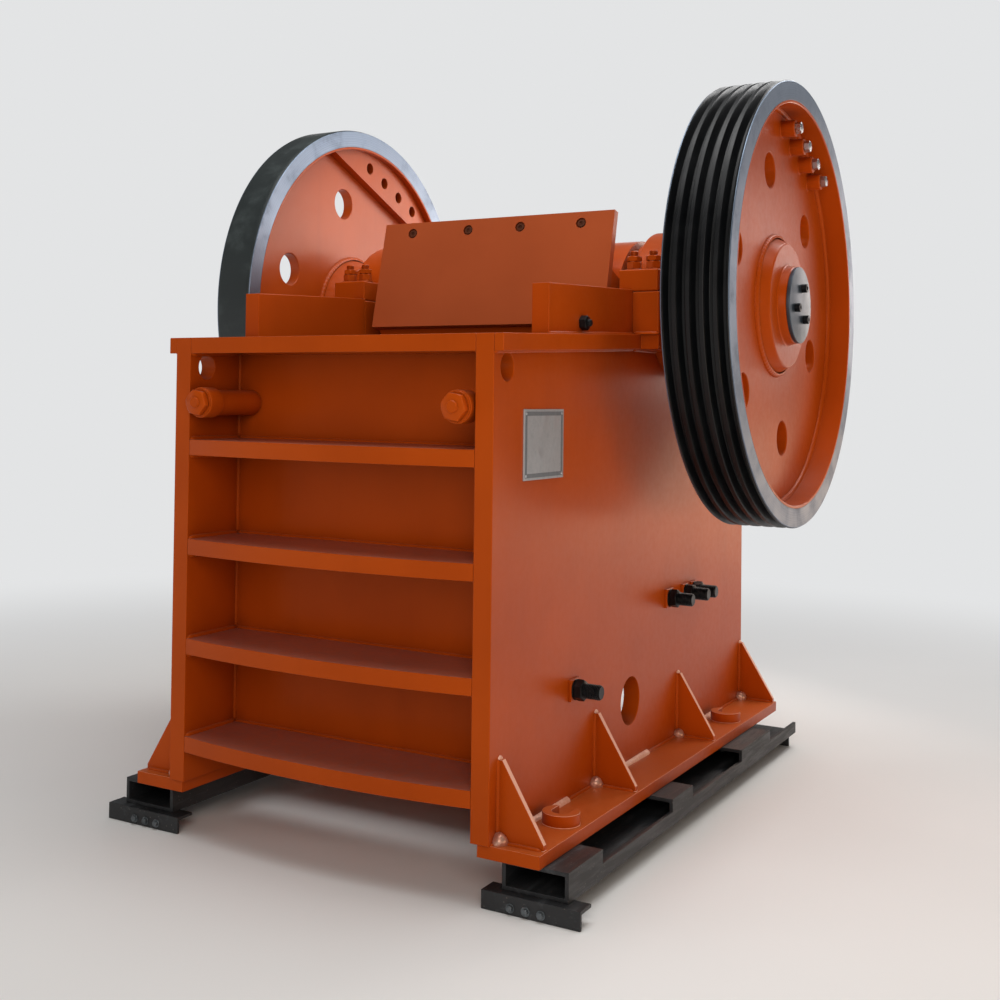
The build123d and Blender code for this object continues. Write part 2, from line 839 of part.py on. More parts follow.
# The bolt places of the balance weight along its chord, and the holes round each web
weight_spots = []
for i in range(weight_bolts):
    step = (i - (weight_bolts - 1) / 2) * weight_bolt_pitch
    bolt_line = rim_in_r - weight_bolt_set
    turn = math.degrees(math.atan2(step, bolt_line))
    weight_spots.append(turned(math.hypot(bolt_line, step), weight_deg - turn))
web_hole_ring = hub_root_r + web_hole_share * (rim_in_r - hub_root_r)
web_spots = [turned(web_hole_ring, web_hole_deg + i * 360 / web_holes) for i in range(web_holes)]
chord_spot = Location((*turned(weight_chord - wheel_r, weight_deg), 0), weight_deg)
web_out = pulley_out - pulley_recess
web_in = web_out - web_thick

# Pulley web with six holes and the four bosses of the weight's bolts
with BuildPart() as pulley_web:
    with BuildSketch(across(web_in)):
        with Locations((shaft_y, shaft_z)):
            Circle(rim_in_r)
            Circle(hub_root_r, mode=Mode.SUBTRACT)
        with Locations(*web_spots):
            Circle(web_hole_r, mode=Mode.SUBTRACT)
    extrude(amount=web_thick)
    with BuildSketch(across(web_out)):
        with Locations(*weight_spots):
            Circle(boss_r)
    extrude(amount=boss_height)
pulley_web.part.label = "pulley_web"
export_step(pulley_web.part, "parts/pulley_web.step")

# Pulley hub, stepped at the front and tapered towards the web
with BuildPart() as pulley_hub:
    with BuildSketch(shaft_plane):
        with BuildLine():
            Polyline(
                (journal_half + hub_clear, seat_r),
                (journal_half + hub_clear, hub_inner_r),
                (web_in, hub_root_r),
                (web_out, hub_root_r),
                (web_out + hub_step, hub_r),
                (web_out + hub_step, collar_r),
                (pulley_out - end_plate_thick, end_plate_r),
                (pulley_out - end_plate_thick, seat_r),
                close=True,
            )
        make_face()
    revolve(axis=shaft_axis)
pulley_hub.part.label = "pulley_hub"
export_step(pulley_hub.part, "parts/pulley_hub.step")

# Balance weight on the inner side of the pulley web
with BuildPart() as pulley_weight:
    with BuildSketch(across(web_in - weight_thick)):
        with Locations((shaft_y, shaft_z)):
            Circle(rim_in_r)
        with Locations(chord_spot):
            Rectangle(2 * wheel_r, 2 * wheel_r, mode=Mode.SUBTRACT)
    extrude(amount=weight_thick)
pulley_weight.part.label = "pulley_weight"
export_step(pulley_weight.part, "parts/pulley_weight.step")

# Flywheel web with six holes, its hub, and the bored balance weight on its inner face
fly_face = -flywheel_in - flywheel_recess
with BuildPart() as flywheel_web:
    with BuildSketch(across(fly_face - web_thick)):
        with Locations((shaft_y, shaft_z)):
            Circle(rim_in_r)
            Circle(hub_root_r, mode=Mode.SUBTRACT)
        with Locations(*web_spots):
            Circle(web_hole_r, mode=Mode.SUBTRACT)
    extrude(amount=web_thick)
flywheel_web.part.label = "flywheel_web"
export_step(flywheel_web.part, "parts/flywheel_web.step")

with BuildPart() as flywheel_hub:
    with BuildSketch(shaft_plane):
        with BuildLine():
            Polyline(
                (-journal_half - hub_clear, seat_r),
                (-journal_half - hub_clear, hub_inner_r),
                (fly_face, hub_root_r),
                (fly_face - web_thick, hub_root_r),
                (-flywheel_out, hub_r),
                (-flywheel_out, seat_r),
                close=True,
            )
        make_face()
    revolve(axis=shaft_axis)
flywheel_hub.part.label = "flywheel_hub"
export_step(flywheel_hub.part, "parts/flywheel_hub.step")

with BuildPart() as flywheel_weight:
    with BuildSketch(across(fly_face)):
        with Locations((shaft_y, shaft_z)):
            Circle(rim_in_r)
        with Locations(chord_spot):
            Rectangle(2 * wheel_r, 2 * wheel_r, mode=Mode.SUBTRACT)
        with Locations(*weight_spots):
            Circle(weight_hole_r, mode=Mode.SUBTRACT)
    extrude(amount=weight_thick)
flywheel_weight.part.label = "flywheel_weight"
export_step(flywheel_weight.part, "parts/flywheel_weight.step")

# End plates on both ends of the shaft, each with the round heads of its bolts
end_spots = [turned(end_bolt_ring, end_bolt_deg + i * 360 / end_bolts) for i in range(end_bolts)]
with BuildPart() as end_plates:
    for face, out in ((pulley_out, 1), (-end_out, -1)):
        with BuildSketch(across(face)):
            with Locations((shaft_y, shaft_z)):
                Circle(end_plate_r)
        extrude(amount=-out * end_plate_thick)
        with BuildSketch(across(face)):
            with Locations(*end_spots):
                Circle(end_bolt_r)
        extrude(amount=out * end_bolt_height)
end_plates.part.label = "shaft_end_plates"
export_step(end_plates.part, "parts/shaft_end_plates.step")
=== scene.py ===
import logging
import math
from dataclasses import dataclass
from enum import Enum
from itertools import product
from typing import Any, Sequence

import bmesh
import bpy
import numpy as np
from mathutils import Matrix


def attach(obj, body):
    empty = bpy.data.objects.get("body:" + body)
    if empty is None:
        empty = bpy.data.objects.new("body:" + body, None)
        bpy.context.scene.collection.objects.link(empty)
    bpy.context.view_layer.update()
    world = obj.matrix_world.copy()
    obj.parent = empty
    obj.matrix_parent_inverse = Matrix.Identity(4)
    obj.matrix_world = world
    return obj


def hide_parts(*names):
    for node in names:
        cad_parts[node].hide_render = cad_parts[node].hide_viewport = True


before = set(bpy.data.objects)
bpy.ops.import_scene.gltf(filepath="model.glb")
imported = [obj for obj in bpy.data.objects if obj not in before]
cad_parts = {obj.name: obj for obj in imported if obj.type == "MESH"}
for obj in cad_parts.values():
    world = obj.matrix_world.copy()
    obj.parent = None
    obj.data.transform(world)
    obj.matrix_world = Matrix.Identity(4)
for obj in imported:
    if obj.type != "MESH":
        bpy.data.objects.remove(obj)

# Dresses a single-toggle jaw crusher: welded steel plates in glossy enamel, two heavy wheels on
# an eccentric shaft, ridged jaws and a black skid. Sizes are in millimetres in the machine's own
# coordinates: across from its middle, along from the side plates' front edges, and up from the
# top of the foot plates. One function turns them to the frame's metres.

logging.basicConfig(level=logging.INFO, format="%(message)s")
log = logging.getLogger("jaw_crusher")

Array = np.ndarray
Row = tuple[Any, float]
Triple = Sequence[float]
Pair = tuple[float, float]
Trio = tuple[float, float, float]
Marks = tuple[float, float, float, float]
HANDS: dict[str, int] = {"right": 1, "left": -1}


class Body(Enum):
    """The bodies that pieces ride on."""

    FRAME = "frame"
    SHAFT = "shaft"
    SWING = "swing"


class Slot(Enum):
    """The record's material slots."""

    ORANGE = "orange_paint"
    RIM = "black_rim"
    SKID = "black_skid"
    STEEL = "bare_steel"
    LINER = "manganese_steel"
    BOLT = "black_bolt"
    PLATE = "plate_aluminium"


@dataclass(frozen=True)
class Layout:
    """The sizes that several sub-assemblies share."""

    shift: Trio = (-48.0, -1077.5, 172.0)
    inner: float = 517.0
    outer: float = 575.0
    shelf_edge: float = 668.0
    foot_edge: float = 723.0
    length: float = 2180.0
    height: float = 1400.0
    rise: float = 42.0
    bearing_front: float = 985.0
    bar: float = 50.0
    wall_front: float = 246.0
    rib_shares: tuple[float, ...] = (0.77, 0.5457, 0.3214, 0.1021)
    shaft_y: float = 1370.0
    shaft_z: float = 1555.0
    gussets: tuple[float, ...] = (60.0, 706.3, 1441.0, 2160.0)
    gusset_half: float = 10.0
    gusset_top: float = 227.0
    ground: float = -172.0

    def top(self, y: float) -> float:
        """Height of the side plates' sloping top edge, level behind the bearings' front."""
        return self.height + self.rise * min(y / self.bearing_front, 1.0)


PLAN = Layout()


def placed(points: Array) -> Array:
    """Machine millimetres turned to the frame's metres."""
    return (np.asarray(points, float) + np.array(PLAN.shift)) / 1000.0


# ---- surfaces ------------------------------------------------------------------------------


@dataclass
class Surface:
    """A closed skin: its points in millimetres, and the faces that join them."""

    points: Array
    faces: list[list[int]]


def joined(skins: Sequence[Surface]) -> Surface:
    """Several closed skins in one, whose faces count on through all the points."""
    starts = np.cumsum([0] + [len(skin.points) for skin in skins])
    faces = [
        [corner + int(start) for corner in face]
        for skin, start in zip(skins, starts)
        for face in skin.faces
    ]
    return Surface(np.concatenate([skin.points for skin in skins]), faces)


def carried(grid: Array, closed: bool) -> Surface:
    """A skin from a closed profile at each step of a path: a quad between each four neighbours.

    Args:
        grid: the points, by step and by place on the profile.
        closed: whether the last step meets the first; if not, both ends get a lid.

    Returns:
        The skin.
    """
    rows, columns = grid.shape[:2]
    steps = np.arange(rows if closed else rows - 1)
    i, j = np.meshgrid(steps, np.arange(columns), indexing="ij")
    a, b = (i + 1) % rows, (j + 1) % columns
    corners = (i * columns + j, a * columns + j, a * columns + b, i * columns + b)
    faces = np.stack(corners, -1).reshape(-1, 4).tolist()
    if not closed:
        last = (rows - 1) * columns
        faces += [list(range(columns)), list(range(last, last + columns))]
    return Surface(grid.reshape(-1, 3), faces)


def mirrored(skin: Surface, side: int = -1) -> Surface:
    """A skin of the right side of the machine, on the side that is asked for."""
    return Surface(skin.points * np.array([side, 1.0, 1.0]), skin.faces)


def around(steps: int) -> Array:
    """Even angles of one turn."""
    return np.linspace(0.0, 2.0 * np.pi, steps, endpoint=False)


def lathe(rows: Sequence[Row], steps: int = 36, ring: bool = False) -> Surface:
    """A turned skin about its own upright axis.

    Each row is a radius, or a radius for each angle, and a height: x is the radius times the
    cosine of the angle, y the radius times its sine, z the height.

    Args:
        rows: radius and height of each row, from the bottom up and round if it is a ring.
        steps: points around.
        ring: whether the last row meets the first, as on a washer.

    Returns:
        The skin, with flat ends where it is no ring.
    """
    angle = around(steps)
    radii = np.stack([np.broadcast_to(radius, angle.shape) for radius, _ in rows]).astype(float)
    heights = np.broadcast_to(np.array([[height] for _, height in rows], float), radii.shape)
    grid = np.stack([radii * np.cos(angle), radii * np.sin(angle), heights], -1)
    return carried(grid, ring)


def hexagon(flats: float) -> Array:
    """Radius of a hexagon at each angle: half its width over the cosine of the angle to the
    middle of the nearest side."""
    sixth = np.pi / 3.0
    return flats / 2.0 / np.cos((around(36) + sixth / 2.0) % sixth - sixth / 2.0)


def aimed(skin: Surface, spot: Triple, axis: Triple, roll: float = 0.0) -> Surface:
    """A skin whose upright axis is turned to point along another.

    Args:
        skin: the skin about its own upright axis.
        spot: where its foot goes.
        axis: the direction that its axis takes.
        roll: turn about that axis in degrees.

    Returns:
        The skin in its place.
    """
    up = np.asarray(axis, float) / np.linalg.norm(axis)
    side = np.cross(up, (0.0, 0.0, 1.0) if abs(up[2]) < 0.9 else (0.0, 1.0, 0.0))
    side /= np.linalg.norm(side)
    turn = math.radians(roll)
    first = math.cos(turn) * side + math.sin(turn) * np.cross(up, side)
    axes = np.stack([first, np.cross(up, first), up])
    return Surface(skin.points @ axes + np.asarray(spot, float), skin.faces)


def stacked(spot: Triple, axis: Triple, *parts: tuple[Surface, float, float]) -> list[Surface]:
    """Skins on one axis.

    Args:
        spot: the foot of the stack.
        axis: its direction, of unit length.
        parts: each skin, its height in the stack and its turn in degrees.

    Returns:
        The skins in their places.
    """
    foot, up = np.asarray(spot, float), np.asarray(axis, float)
    return [aimed(skin, foot + lift * up, axis, roll) for skin, lift, roll in parts]


def hex_block(flats: float, height: float, both: bool = True) -> Surface:
    """A hexagon bar whose ends are chamfered by a cone of thirty degrees.

    Args:
        flats: width across the flats.
        height: length of the bar.
        both: whether the lower end is chamfered too, as on a nut.

    Returns:
        The skin: at a depth under the end each radius is the lesser of hexagon and cone.
    """
    flat_share, drop_share = 0.475, 0.0605
    six, slope = hexagon(flats), math.tan(math.radians(30))
    flat, drop = flat_share * flats, drop_share * flats
    depths = np.linspace(0, drop, 4)
    cone = [(np.minimum(six, flat + depth / slope), depth) for depth in depths]
    top = [(radius, height - depth) for radius, depth in reversed(cone)]
    return lathe([*(cone if both else [(six, 0.0)]), *top])


def washer(outer: float, inner: float, height: float) -> Surface:
    """A flat ring with its outer edges broken."""
    soft = min(1.2, height * 0.3)
    edge = [(outer - soft, 0.0), (outer, soft), (outer, height - soft), (outer - soft, height)]
    return lathe([(inner, 0.0), *edge, (inner, height)], ring=True)


def thread(radius: float, length: float, pitch: float) -> Surface:
    """A threaded rod with a chamfered end.

    The radius falls and rises as a cosine of the height in pitches less the angle in turns, by
    0.6 of the pitch, and never passes the cone of the chamfer.

    Args:
        radius: outer radius.
        length: length of the rod.
        pitch: rise of the thread in one turn.

    Returns:
        The skin.
    """
    steps, depth = 20, 0.6 * pitch
    heights = np.linspace(0.0, length, max(4, int(4 * length / pitch)))
    wave = 0.5 - 0.5 * np.cos(2.0 * np.pi * heights[:, None] / pitch - around(steps))
    cone = radius - depth - 1.0 + (length - heights)[:, None]
    radii = np.minimum(radius - depth * wave, np.maximum(cone, radius * 0.6))
    return lathe(list(zip(radii, heights)), steps)


def screw_head(radius: float, height: float, socket: float) -> Surface:
    """A round head with a hexagon socket sunk to half its height."""
    soft, six = radius * 0.08, hexagon(socket)
    rim = [(radius, 0.0), (radius, height - soft), (radius - soft, height), (six * 1.05, height)]
    well = [(six, height - soft), (six, height * 0.45), (socket * 0.2, height * 0.38)]
    return lathe([*rim, *well])


def bead(path: Array, one: Any, other: Any, size: float, closed: bool = False) -> Surface:
    """A fillet weld laid into a corner along a path.

    At each point the skin runs over a quarter turn: the leg times the cosine one way plus the
    leg times the sine the other way, closed through the corner. The leg swells and shrinks
    along the path as the ripples of a weld do, and runs out at open ends.

    Args:
        path: points along the corner.
        one: direction of the first leg, the same all along or one for each point.
        other: direction of the second leg, likewise.
        size: length of the legs.
        closed: whether the path ends where it starts.

    Returns:
        The skin.
    """
    ripple_mm, swell_mm, sunk, rippled, swelled = 17.0, 53.0, 0.5, 0.09, 0.05
    one, other = (np.broadcast_to(np.asarray(way, float), path.shape) for way in (one, other))
    along = np.concatenate([[0.0], np.cumsum(np.linalg.norm(np.diff(path, axis=0), axis=1))])
    ripple = np.abs(np.cos(np.pi * along / ripple_mm))
    leg = size * (1.0 - rippled + rippled * ripple + swelled * np.sin(along / swell_mm))
    if not closed:
        ends = np.minimum(along, along[-1] - along) / size
        leg = leg * np.clip(ends, 0.12, 1.0) ** 0.5
    turn = np.linspace(0.0, np.pi / 2.0, 5)
    foot = path - sunk * (one + other)
    reach = leg[:, None, None]
    first = np.cos(turn)[None, :, None] * one[:, None, :]
    second = np.sin(turn)[None, :, None] * other[:, None, :]
    arc = foot[:, None, :] + reach * first + reach * second
    return carried(np.concatenate([arc, foot[:, None, :]], axis=1), closed)


def straight(
    start: Triple, end: Triple, one: Triple, other: Triple, size: float, step: float = 7.0
) -> Surface:
    """A fillet weld from one place to another, with a point at about each step."""
    start, end = np.asarray(start, float), np.asarray(end, float)
    count = max(3, int(np.linalg.norm(end - start) / step) + 1)
    path = start + (end - start) * np.linspace(0.0, 1.0, count)[:, None]
    return bead(path, one, other, size)


def on_shaft(rows: Sequence[Row], steps: int = 216, ring: bool = True) -> Surface:
    """A turned skin about the shaft's axis, its heights counted across the machine."""
    skin = lathe(rows, steps, ring)
    y, z, x = skin.points.T
    return Surface(np.stack([x, y + PLAN.shaft_y, z + PLAN.shaft_z], -1), skin.faces)


def on_ring(radius: float, degrees: float) -> Pair:
    """A place at a radius and an angle about the shaft."""
    turn = math.radians(degrees)
    return PLAN.shaft_y + radius * math.cos(turn), PLAN.shaft_z + radius * math.sin(turn)


# ---- finishes ------------------------------------------------------------------------------


def linear(code: str) -> tuple[float, float, float, float]:
    """An sRGB hex colour turned to linear light."""
    parts = [int(code[i : i + 2], 16) / 255.0 for i in (1, 3, 5)]
    r, g, b = (p / 12.92 if p <= 0.04045 else ((p + 0.055) / 1.055) ** 2.4 for p in parts)
    return (r, g, b, 1.0)


def fill(tree: Any, node: Any, inputs: dict[Any, Any]) -> None:
    """Gives a node's inputs their values, or links where a value is another node's socket."""
    for key, value in inputs.items():
        if isinstance(value, bpy.types.NodeSocket):
            tree.links.new(value, node.inputs[key])
        else:
            node.inputs[key].default_value = value


def add(tree: Any, kind: str, inputs: dict[Any, Any] | None = None, **settings: Any) -> Any:
    """Adds a node with its settings, values and links.

    Args:
        tree: the node tree.
        kind: the node's type, without the words that all types start with.
        inputs: a value or a linked socket for each input, by name or number.
        settings: the node's own properties.

    Returns:
        The node.
    """
    node = tree.nodes.new("ShaderNode" + kind)
    for name, value in settings.items():
        setattr(node, name, value)
    fill(tree, node, inputs or {})
    return node


def stretch(fac: Any, marks: Marks) -> dict[str, Any]:
    """What a stretched pattern reads: as it goes from the first mark to the second, the result
    goes from the third to the fourth."""
    return {"Value": fac, **dict(zip(("From Min", "From Max", "To Min", "To Max"), marks))}


class Coat:
    """A material on its way: its nodes, its shader and what has been laid on it."""

    def __init__(self, finish: Any, detail: float, rough: float = 0.5) -> None:
        """Starts with a finish's colour, and with clouds to lay others by.

        Args:
            finish: the finish, which has a name, a colour and a size of cloud.
            detail: how many times the clouds are broken up.
            rough: how strongly each time.
        """
        self.material = bpy.data.materials.new(finish.name)
        self.material.use_nodes = True
        self.tree = self.material.node_tree
        self.shader = self.tree.nodes["Principled BSDF"]
        self.where = add(self.tree, "TexCoord").outputs["Object"]
        self.tone: Any = linear(finish.colour)
        size = {"Scale": 1000.0 / finish.cloud_mm, "Detail": detail, "Roughness": rough}
        self.cloud = add(self.tree, "TexNoise", {"Vector": self.where, **size}).outputs["Fac"]

    def lay(self, colour: str, *patterns: tuple[Any, Marks]) -> None:
        """Lays a colour over what is there, as strongly as patterns say.

        Args:
            colour: the colour.
            patterns: each pattern with its marks; what they give is multiplied.
        """
        tree, share = self.tree, None
        for fac, marks in patterns:
            part = add(tree, "MapRange", stretch(fac, marks), interpolation_type="SMOOTHSTEP")
            part = part.outputs["Result"]
            if share is not None:
                part = add(tree, "Math", {0: share, 1: part}, operation="MULTIPLY").outputs[0]
            share = part
        mixed = add(tree, "Mix", {0: share, 6: self.tone, 7: linear(colour)}, data_type="RGBA")
        self.tone = mixed.outputs[2]

    def close(
        self, fac: Any, marks: Marks, height: Any, depth_mm: float, strength: float, **more: Any
    ) -> bpy.types.Material:
        """Joins colour, gloss and relief to the shader.

        Args:
            fac: the pattern that the gloss follows.
            marks: its marks, the last two of them roughnesses.
            height: the pattern of the relief.
            depth_mm: the relief's full depth.
            strength: how much of it shows.
            more: what else the shader is given, by its inputs' names.

        Returns:
            The finished material.
        """
        tree = self.tree
        gloss = add(tree, "MapRange", stretch(fac, marks), interpolation_type="SMOOTHSTEP")
        relief = {"Height": height, "Distance": depth_mm / 1000.0, "Strength": strength}
        fill(tree, self.shader, {
            "Base Color": self.tone,
            "Roughness": gloss.outputs["Result"],
            "Normal": add(tree, "Bump", relief).outputs["Normal"],
            **more,
        })
        return self.material


@dataclass(frozen=True)
class Finish:
    """What every finish shares: its name, and the record's slot of the pieces that wear it."""

    name: str
    slot: Slot | None

    def make(self) -> bpy.types.Material:
        """The finished material."""
        raise NotImplementedError


@dataclass(frozen=True)
class Enamel(Finish):
    """Alkyd machine enamel, sprayed wet over shot-blasted plate.

    To the eye: deep saturated colour under a wet gloss, a faint orange peel in the reflections,
    clouds where the coat is thicker, and dust on what lies level. The corners are darkened by
    ambient occlusion, which is painted shade. Where the level tone is warm and pale, as on the
    feet, it is painted top light, and a paler tone on slopes is a painted highlight. The wet
    gloss keeps the paint's warmth, as clear resin over pigment does. The peel is drawn coarser
    than the real one, so that it shows.
    """

    colour: str
    deep: str
    dust_and_top_light: str = "#8C7468"
    dust_and_top_light_share: float = 0.2
    slope_highlight: str = "#D98F6C"
    slope_highlight_share: float = 0.0
    tint: str = "#FF8A50"
    corner_shade: str = "#5A1E0A"
    roughness: float = 0.36
    cloud_mm: float = 420.0
    run_mm: Trio = (111.0, 111.0, 1430.0)
    wave_mm: float = 182.0
    wave_weight: float = 14.0
    speck_mm: float = 26.3
    peel_mm: float = 9.0
    corner_mm: float = 60.0

    def make(self) -> bpy.types.Material:
        """Two oranges mixed by clouds and runs, painted shade in corners, dust on level faces
        (painted top light where that tone is warm and pale), and a painted highlight on slopes.
        """
        coat = Coat(self, 4.0)
        tree, where = coat.tree, coat.where
        wave, speck, peel = (
            add(tree, "TexNoise", {"Vector": where, "Scale": 1000.0 / size, **more}).outputs["Fac"]
            for size, more in (
                (self.wave_mm, {"Detail": 2.0}),
                (self.speck_mm, {"Detail": 6.0, "Roughness": 0.7}),
                (self.peel_mm, {"Detail": 2.0}),
            )
        )
        pull = {"Vector": where, "Scale": [1000.0 / size for size in self.run_mm]}
        drawn = add(tree, "Mapping", pull).outputs[0]
        runs = {"Vector": drawn, "Scale": 1.0, "Detail": 5.0, "Roughness": 0.6}
        run = add(tree, "TexNoise", runs).outputs["Fac"]
        reach = {"Distance": self.corner_mm / 1000.0}
        corner = add(tree, "AmbientOcclusion", reach, samples=4).outputs["AO"]
        normal = add(tree, "NewGeometry").outputs["Normal"]
        level = add(tree, "SeparateXYZ", {0: normal}).outputs["Z"]
        coat.lay(self.deep, (coat.cloud, (0.3, 0.7, 0.0, 0.4)))
        coat.lay(self.deep, (run, (0.5, 0.8, 0.0, 0.22)))
        # Painted shade: ambient occlusion darkens the corners with a dark brown.
        coat.lay(self.corner_shade, (corner, (0.25, 0.85, 0.55, 0.0)))
        # Dust on level faces; where its tone is warm and pale, as on the feet, it is painted top
        # light.
        lying = (level, (0.6, 1.0, 0.0, self.dust_and_top_light_share))
        coat.lay(self.dust_and_top_light, lying, (speck, (0.3, 0.7, 0.5, 1.0)))
        # Painted highlight: faces that slope between level and upright get a paler tone.
        slopes = (level, (0.3, 0.48, 0.0, self.slope_highlight_share))
        coat.lay(self.slope_highlight, slopes, (level, (0.7, 0.85, 1.0, 0.0)))
        waves = {0: wave, 1: self.wave_weight, 2: peel}
        height = add(tree, "Math", waves, operation="MULTIPLY_ADD").outputs[0]
        gloss = (0.3, 0.75, self.roughness - 0.03, self.roughness + 0.05)
        wet = {"Coat Weight": 0.05, "Coat Roughness": 0.18, "Specular IOR Level": 0.3}
        wet["Specular Tint"] = linear(self.tint)
        return coat.close(speck, gloss, height, depth_mm=0.12, strength=0.6, **wet)


@dataclass(frozen=True)
class BlackGloss(Finish):
    """Black lacquer over turned cast iron.

    To the eye: nearly black with sharp reflections, fine lines round the wheel where the tool
    went, and a grey bloom of dust and rubber. The lines are drawn coarser than the real ones.
    """

    colour: str = "#07080A"
    bloom: str = "#1E2225"
    roughness: float = 0.36
    dusty: float = 0.3
    turn_mm: float = 3.0
    cloud_mm: float = 143.0

    def make(self) -> bpy.types.Material:
        """Black with turned lines that follow the width of the wheel."""
        coat = Coat(self, 6.0, 0.65)
        tree = coat.tree
        across = add(tree, "SeparateXYZ", {0: coat.where}).outputs["X"]
        turns = {"W": across, "Scale": 1000.0 / self.turn_mm, "Detail": 3.0}
        lines = add(tree, "TexNoise", turns, noise_dimensions="1D").outputs["Fac"]
        coat.lay(self.bloom, (coat.cloud, (0.45, 0.8, self.dusty / 3.0, self.dusty)))
        gloss = (0.35, 0.75, self.roughness, self.roughness + 0.2)
        wet = {"Specular IOR Level": 0.32}
        return coat.close(coat.cloud, gloss, lines, depth_mm=0.08, strength=0.5, **wet)


@dataclass(frozen=True)
class TurnedSteel(Finish):
    """Cast iron or steel, faced on a lathe and oiled.

    To the eye: blue-grey metal with fine rings about the shaft that stretch the highlights, and
    a few brown and dark stains. The rings are drawn coarser than the real ones.
    """

    colour: str = "#7F8DA0"
    stain: str = "#39434F"
    roughness: float = 0.42
    ring_mm: float = 2.6
    cloud_mm: float = 111.0
    metallic: float = 0.85

    def make(self) -> bpy.types.Material:
        """Rings by the distance from the shaft, stains by clouds."""
        coat = Coat(self, 7.0, 0.68)
        tree = coat.tree
        _, y, z = placed(np.array([0.0, PLAN.shaft_y, PLAN.shaft_z]))
        centring = {"Vector": coat.where, "Location": (0.0, -y, -z), "Scale": (0.0, 1.0, 1.0)}
        centred = add(tree, "Mapping", centring).outputs[0]
        reach = add(tree, "VectorMath", {0: centred}, operation="LENGTH").outputs["Value"]
        turns = {"W": reach, "Scale": 1000.0 / self.ring_mm, "Detail": 4.0}
        rings = add(tree, "TexNoise", turns, noise_dimensions="1D").outputs["Fac"]
        coat.lay(self.stain, (coat.cloud, (0.48, 0.72, 0.0, 0.35)))
        coat.lay(self.stain, (rings, (0.4, 0.7, 0.0, 0.3)))
        gloss = (0.3, 0.75, self.roughness - 0.04, self.roughness + 0.1)
        metal = {"Metallic": self.metallic}
        return coat.close(coat.cloud, gloss, rings, depth_mm=0.1, strength=0.6, **metal)


@dataclass(frozen=True)
class PlainMetal(Finish):
    """A small metal piece: blued or zinc-plated steel, rolled aluminium, a bare weld.

    To the eye: a cloudy surface whose gloss changes from place to place, with fine grain.
    """

    colour: str
    stain: str
    metallic: float = 1.0
    roughness: float = 0.35
    grain_mm: float = 4.0
    grain_depth_mm: float = 0.1
    stained: float = 0.6
    cloud_mm: float = 38.5

    def make(self) -> bpy.types.Material:
        """Two tones mixed by clouds, with a grain of a real size."""
        coat = Coat(self, 6.0, 0.66)
        grains = {"Vector": coat.where, "Scale": 1000.0 / self.grain_mm, "Detail": 3.0}
        grain = add(coat.tree, "TexNoise", grains).outputs["Fac"]
        coat.lay(self.stain, (coat.cloud, (0.42, 0.68, 0.0, self.stained)))
        gloss = (0.3, 0.7, self.roughness - 0.08, self.roughness + 0.15)
        metal = {"Metallic": self.metallic}
        return coat.close(coat.cloud, gloss, grain, self.grain_depth_mm, strength=0.7, **metal)


@dataclass(frozen=True)
class SkidPaint(Finish):
    """Thin black primer on rolled channel.

    To the eye: dull charcoal, scuffed grey along its length, with dust and mill scale.
    """

    colour: str = "#1D1E20"
    cloudy: str = "#303235"
    scuff: str = "#55585B"
    chipped: str = "#77706A"
    roughness: float = 0.5
    cloud_mm: float = 250.0
    scuff_mm: float = 33.3
    scuff_draw: Trio = (1.0, 0.12, 1.4)
    chip_mm: float = 18.2

    def make(self) -> bpy.types.Material:
        """Charcoal with long scuffs and small chips."""
        coat = Coat(self, 5.0)
        tree, where = coat.tree, coat.where
        drawn = add(tree, "Mapping", {"Vector": where, "Scale": self.scuff_draw}).outputs[0]
        scuffs = {"Scale": 1000.0 / self.scuff_mm, "Detail": 8.0, "Roughness": 0.7}
        scuff = add(tree, "TexNoise", {"Vector": drawn, **scuffs}).outputs["Fac"]
        chips = {"Vector": where, "Scale": 1000.0 / self.chip_mm}
        chip = add(tree, "TexVoronoi", chips).outputs["Distance"]
        coat.lay(self.cloudy, (coat.cloud, (0.35, 0.7, 0.0, 0.6)))
        coat.lay(self.scuff, (scuff, (0.52, 0.72, 0.0, 0.55)))
        coat.lay(self.chipped, (chip, (0.16, 0.05, 0.0, 0.5)))
        gloss = (0.35, 0.7, self.roughness - 0.1, self.roughness + 0.2)
        return coat.close(scuff, gloss, scuff, depth_mm=0.3, strength=0.5)


@dataclass(frozen=True)
class CastLiner(Finish):
    """Austenitic manganese steel, cast in sand and shipped in red-brown primer.

    To the eye: a rough, matt red-brown skin with sand grain and a little rust bloom.
    """

    colour: str = "#7A3416"
    rust: str = "#4C2412"
    roughness: float = 0.62
    cloud_mm: float = 167.0
    sand_mm: float = 3.5

    def make(self) -> bpy.types.Material:
        """Primer and rust mixed by clouds over a sand grain."""
        coat = Coat(self, 7.0, 0.62)
        grains = {"Vector": coat.where, "Scale": 1000.0 / self.sand_mm, "Detail": 4.0}
        sand = add(coat.tree, "TexNoise", grains).outputs["Fac"]
        coat.lay(self.rust, (coat.cloud, (0.38, 0.66, 0.0, 1.0)))
        gloss = (0.3, 0.7, self.roughness - 0.1, self.roughness + 0.1)
        return coat.close(sand, gloss, sand, depth_mm=0.7, strength=0.8)


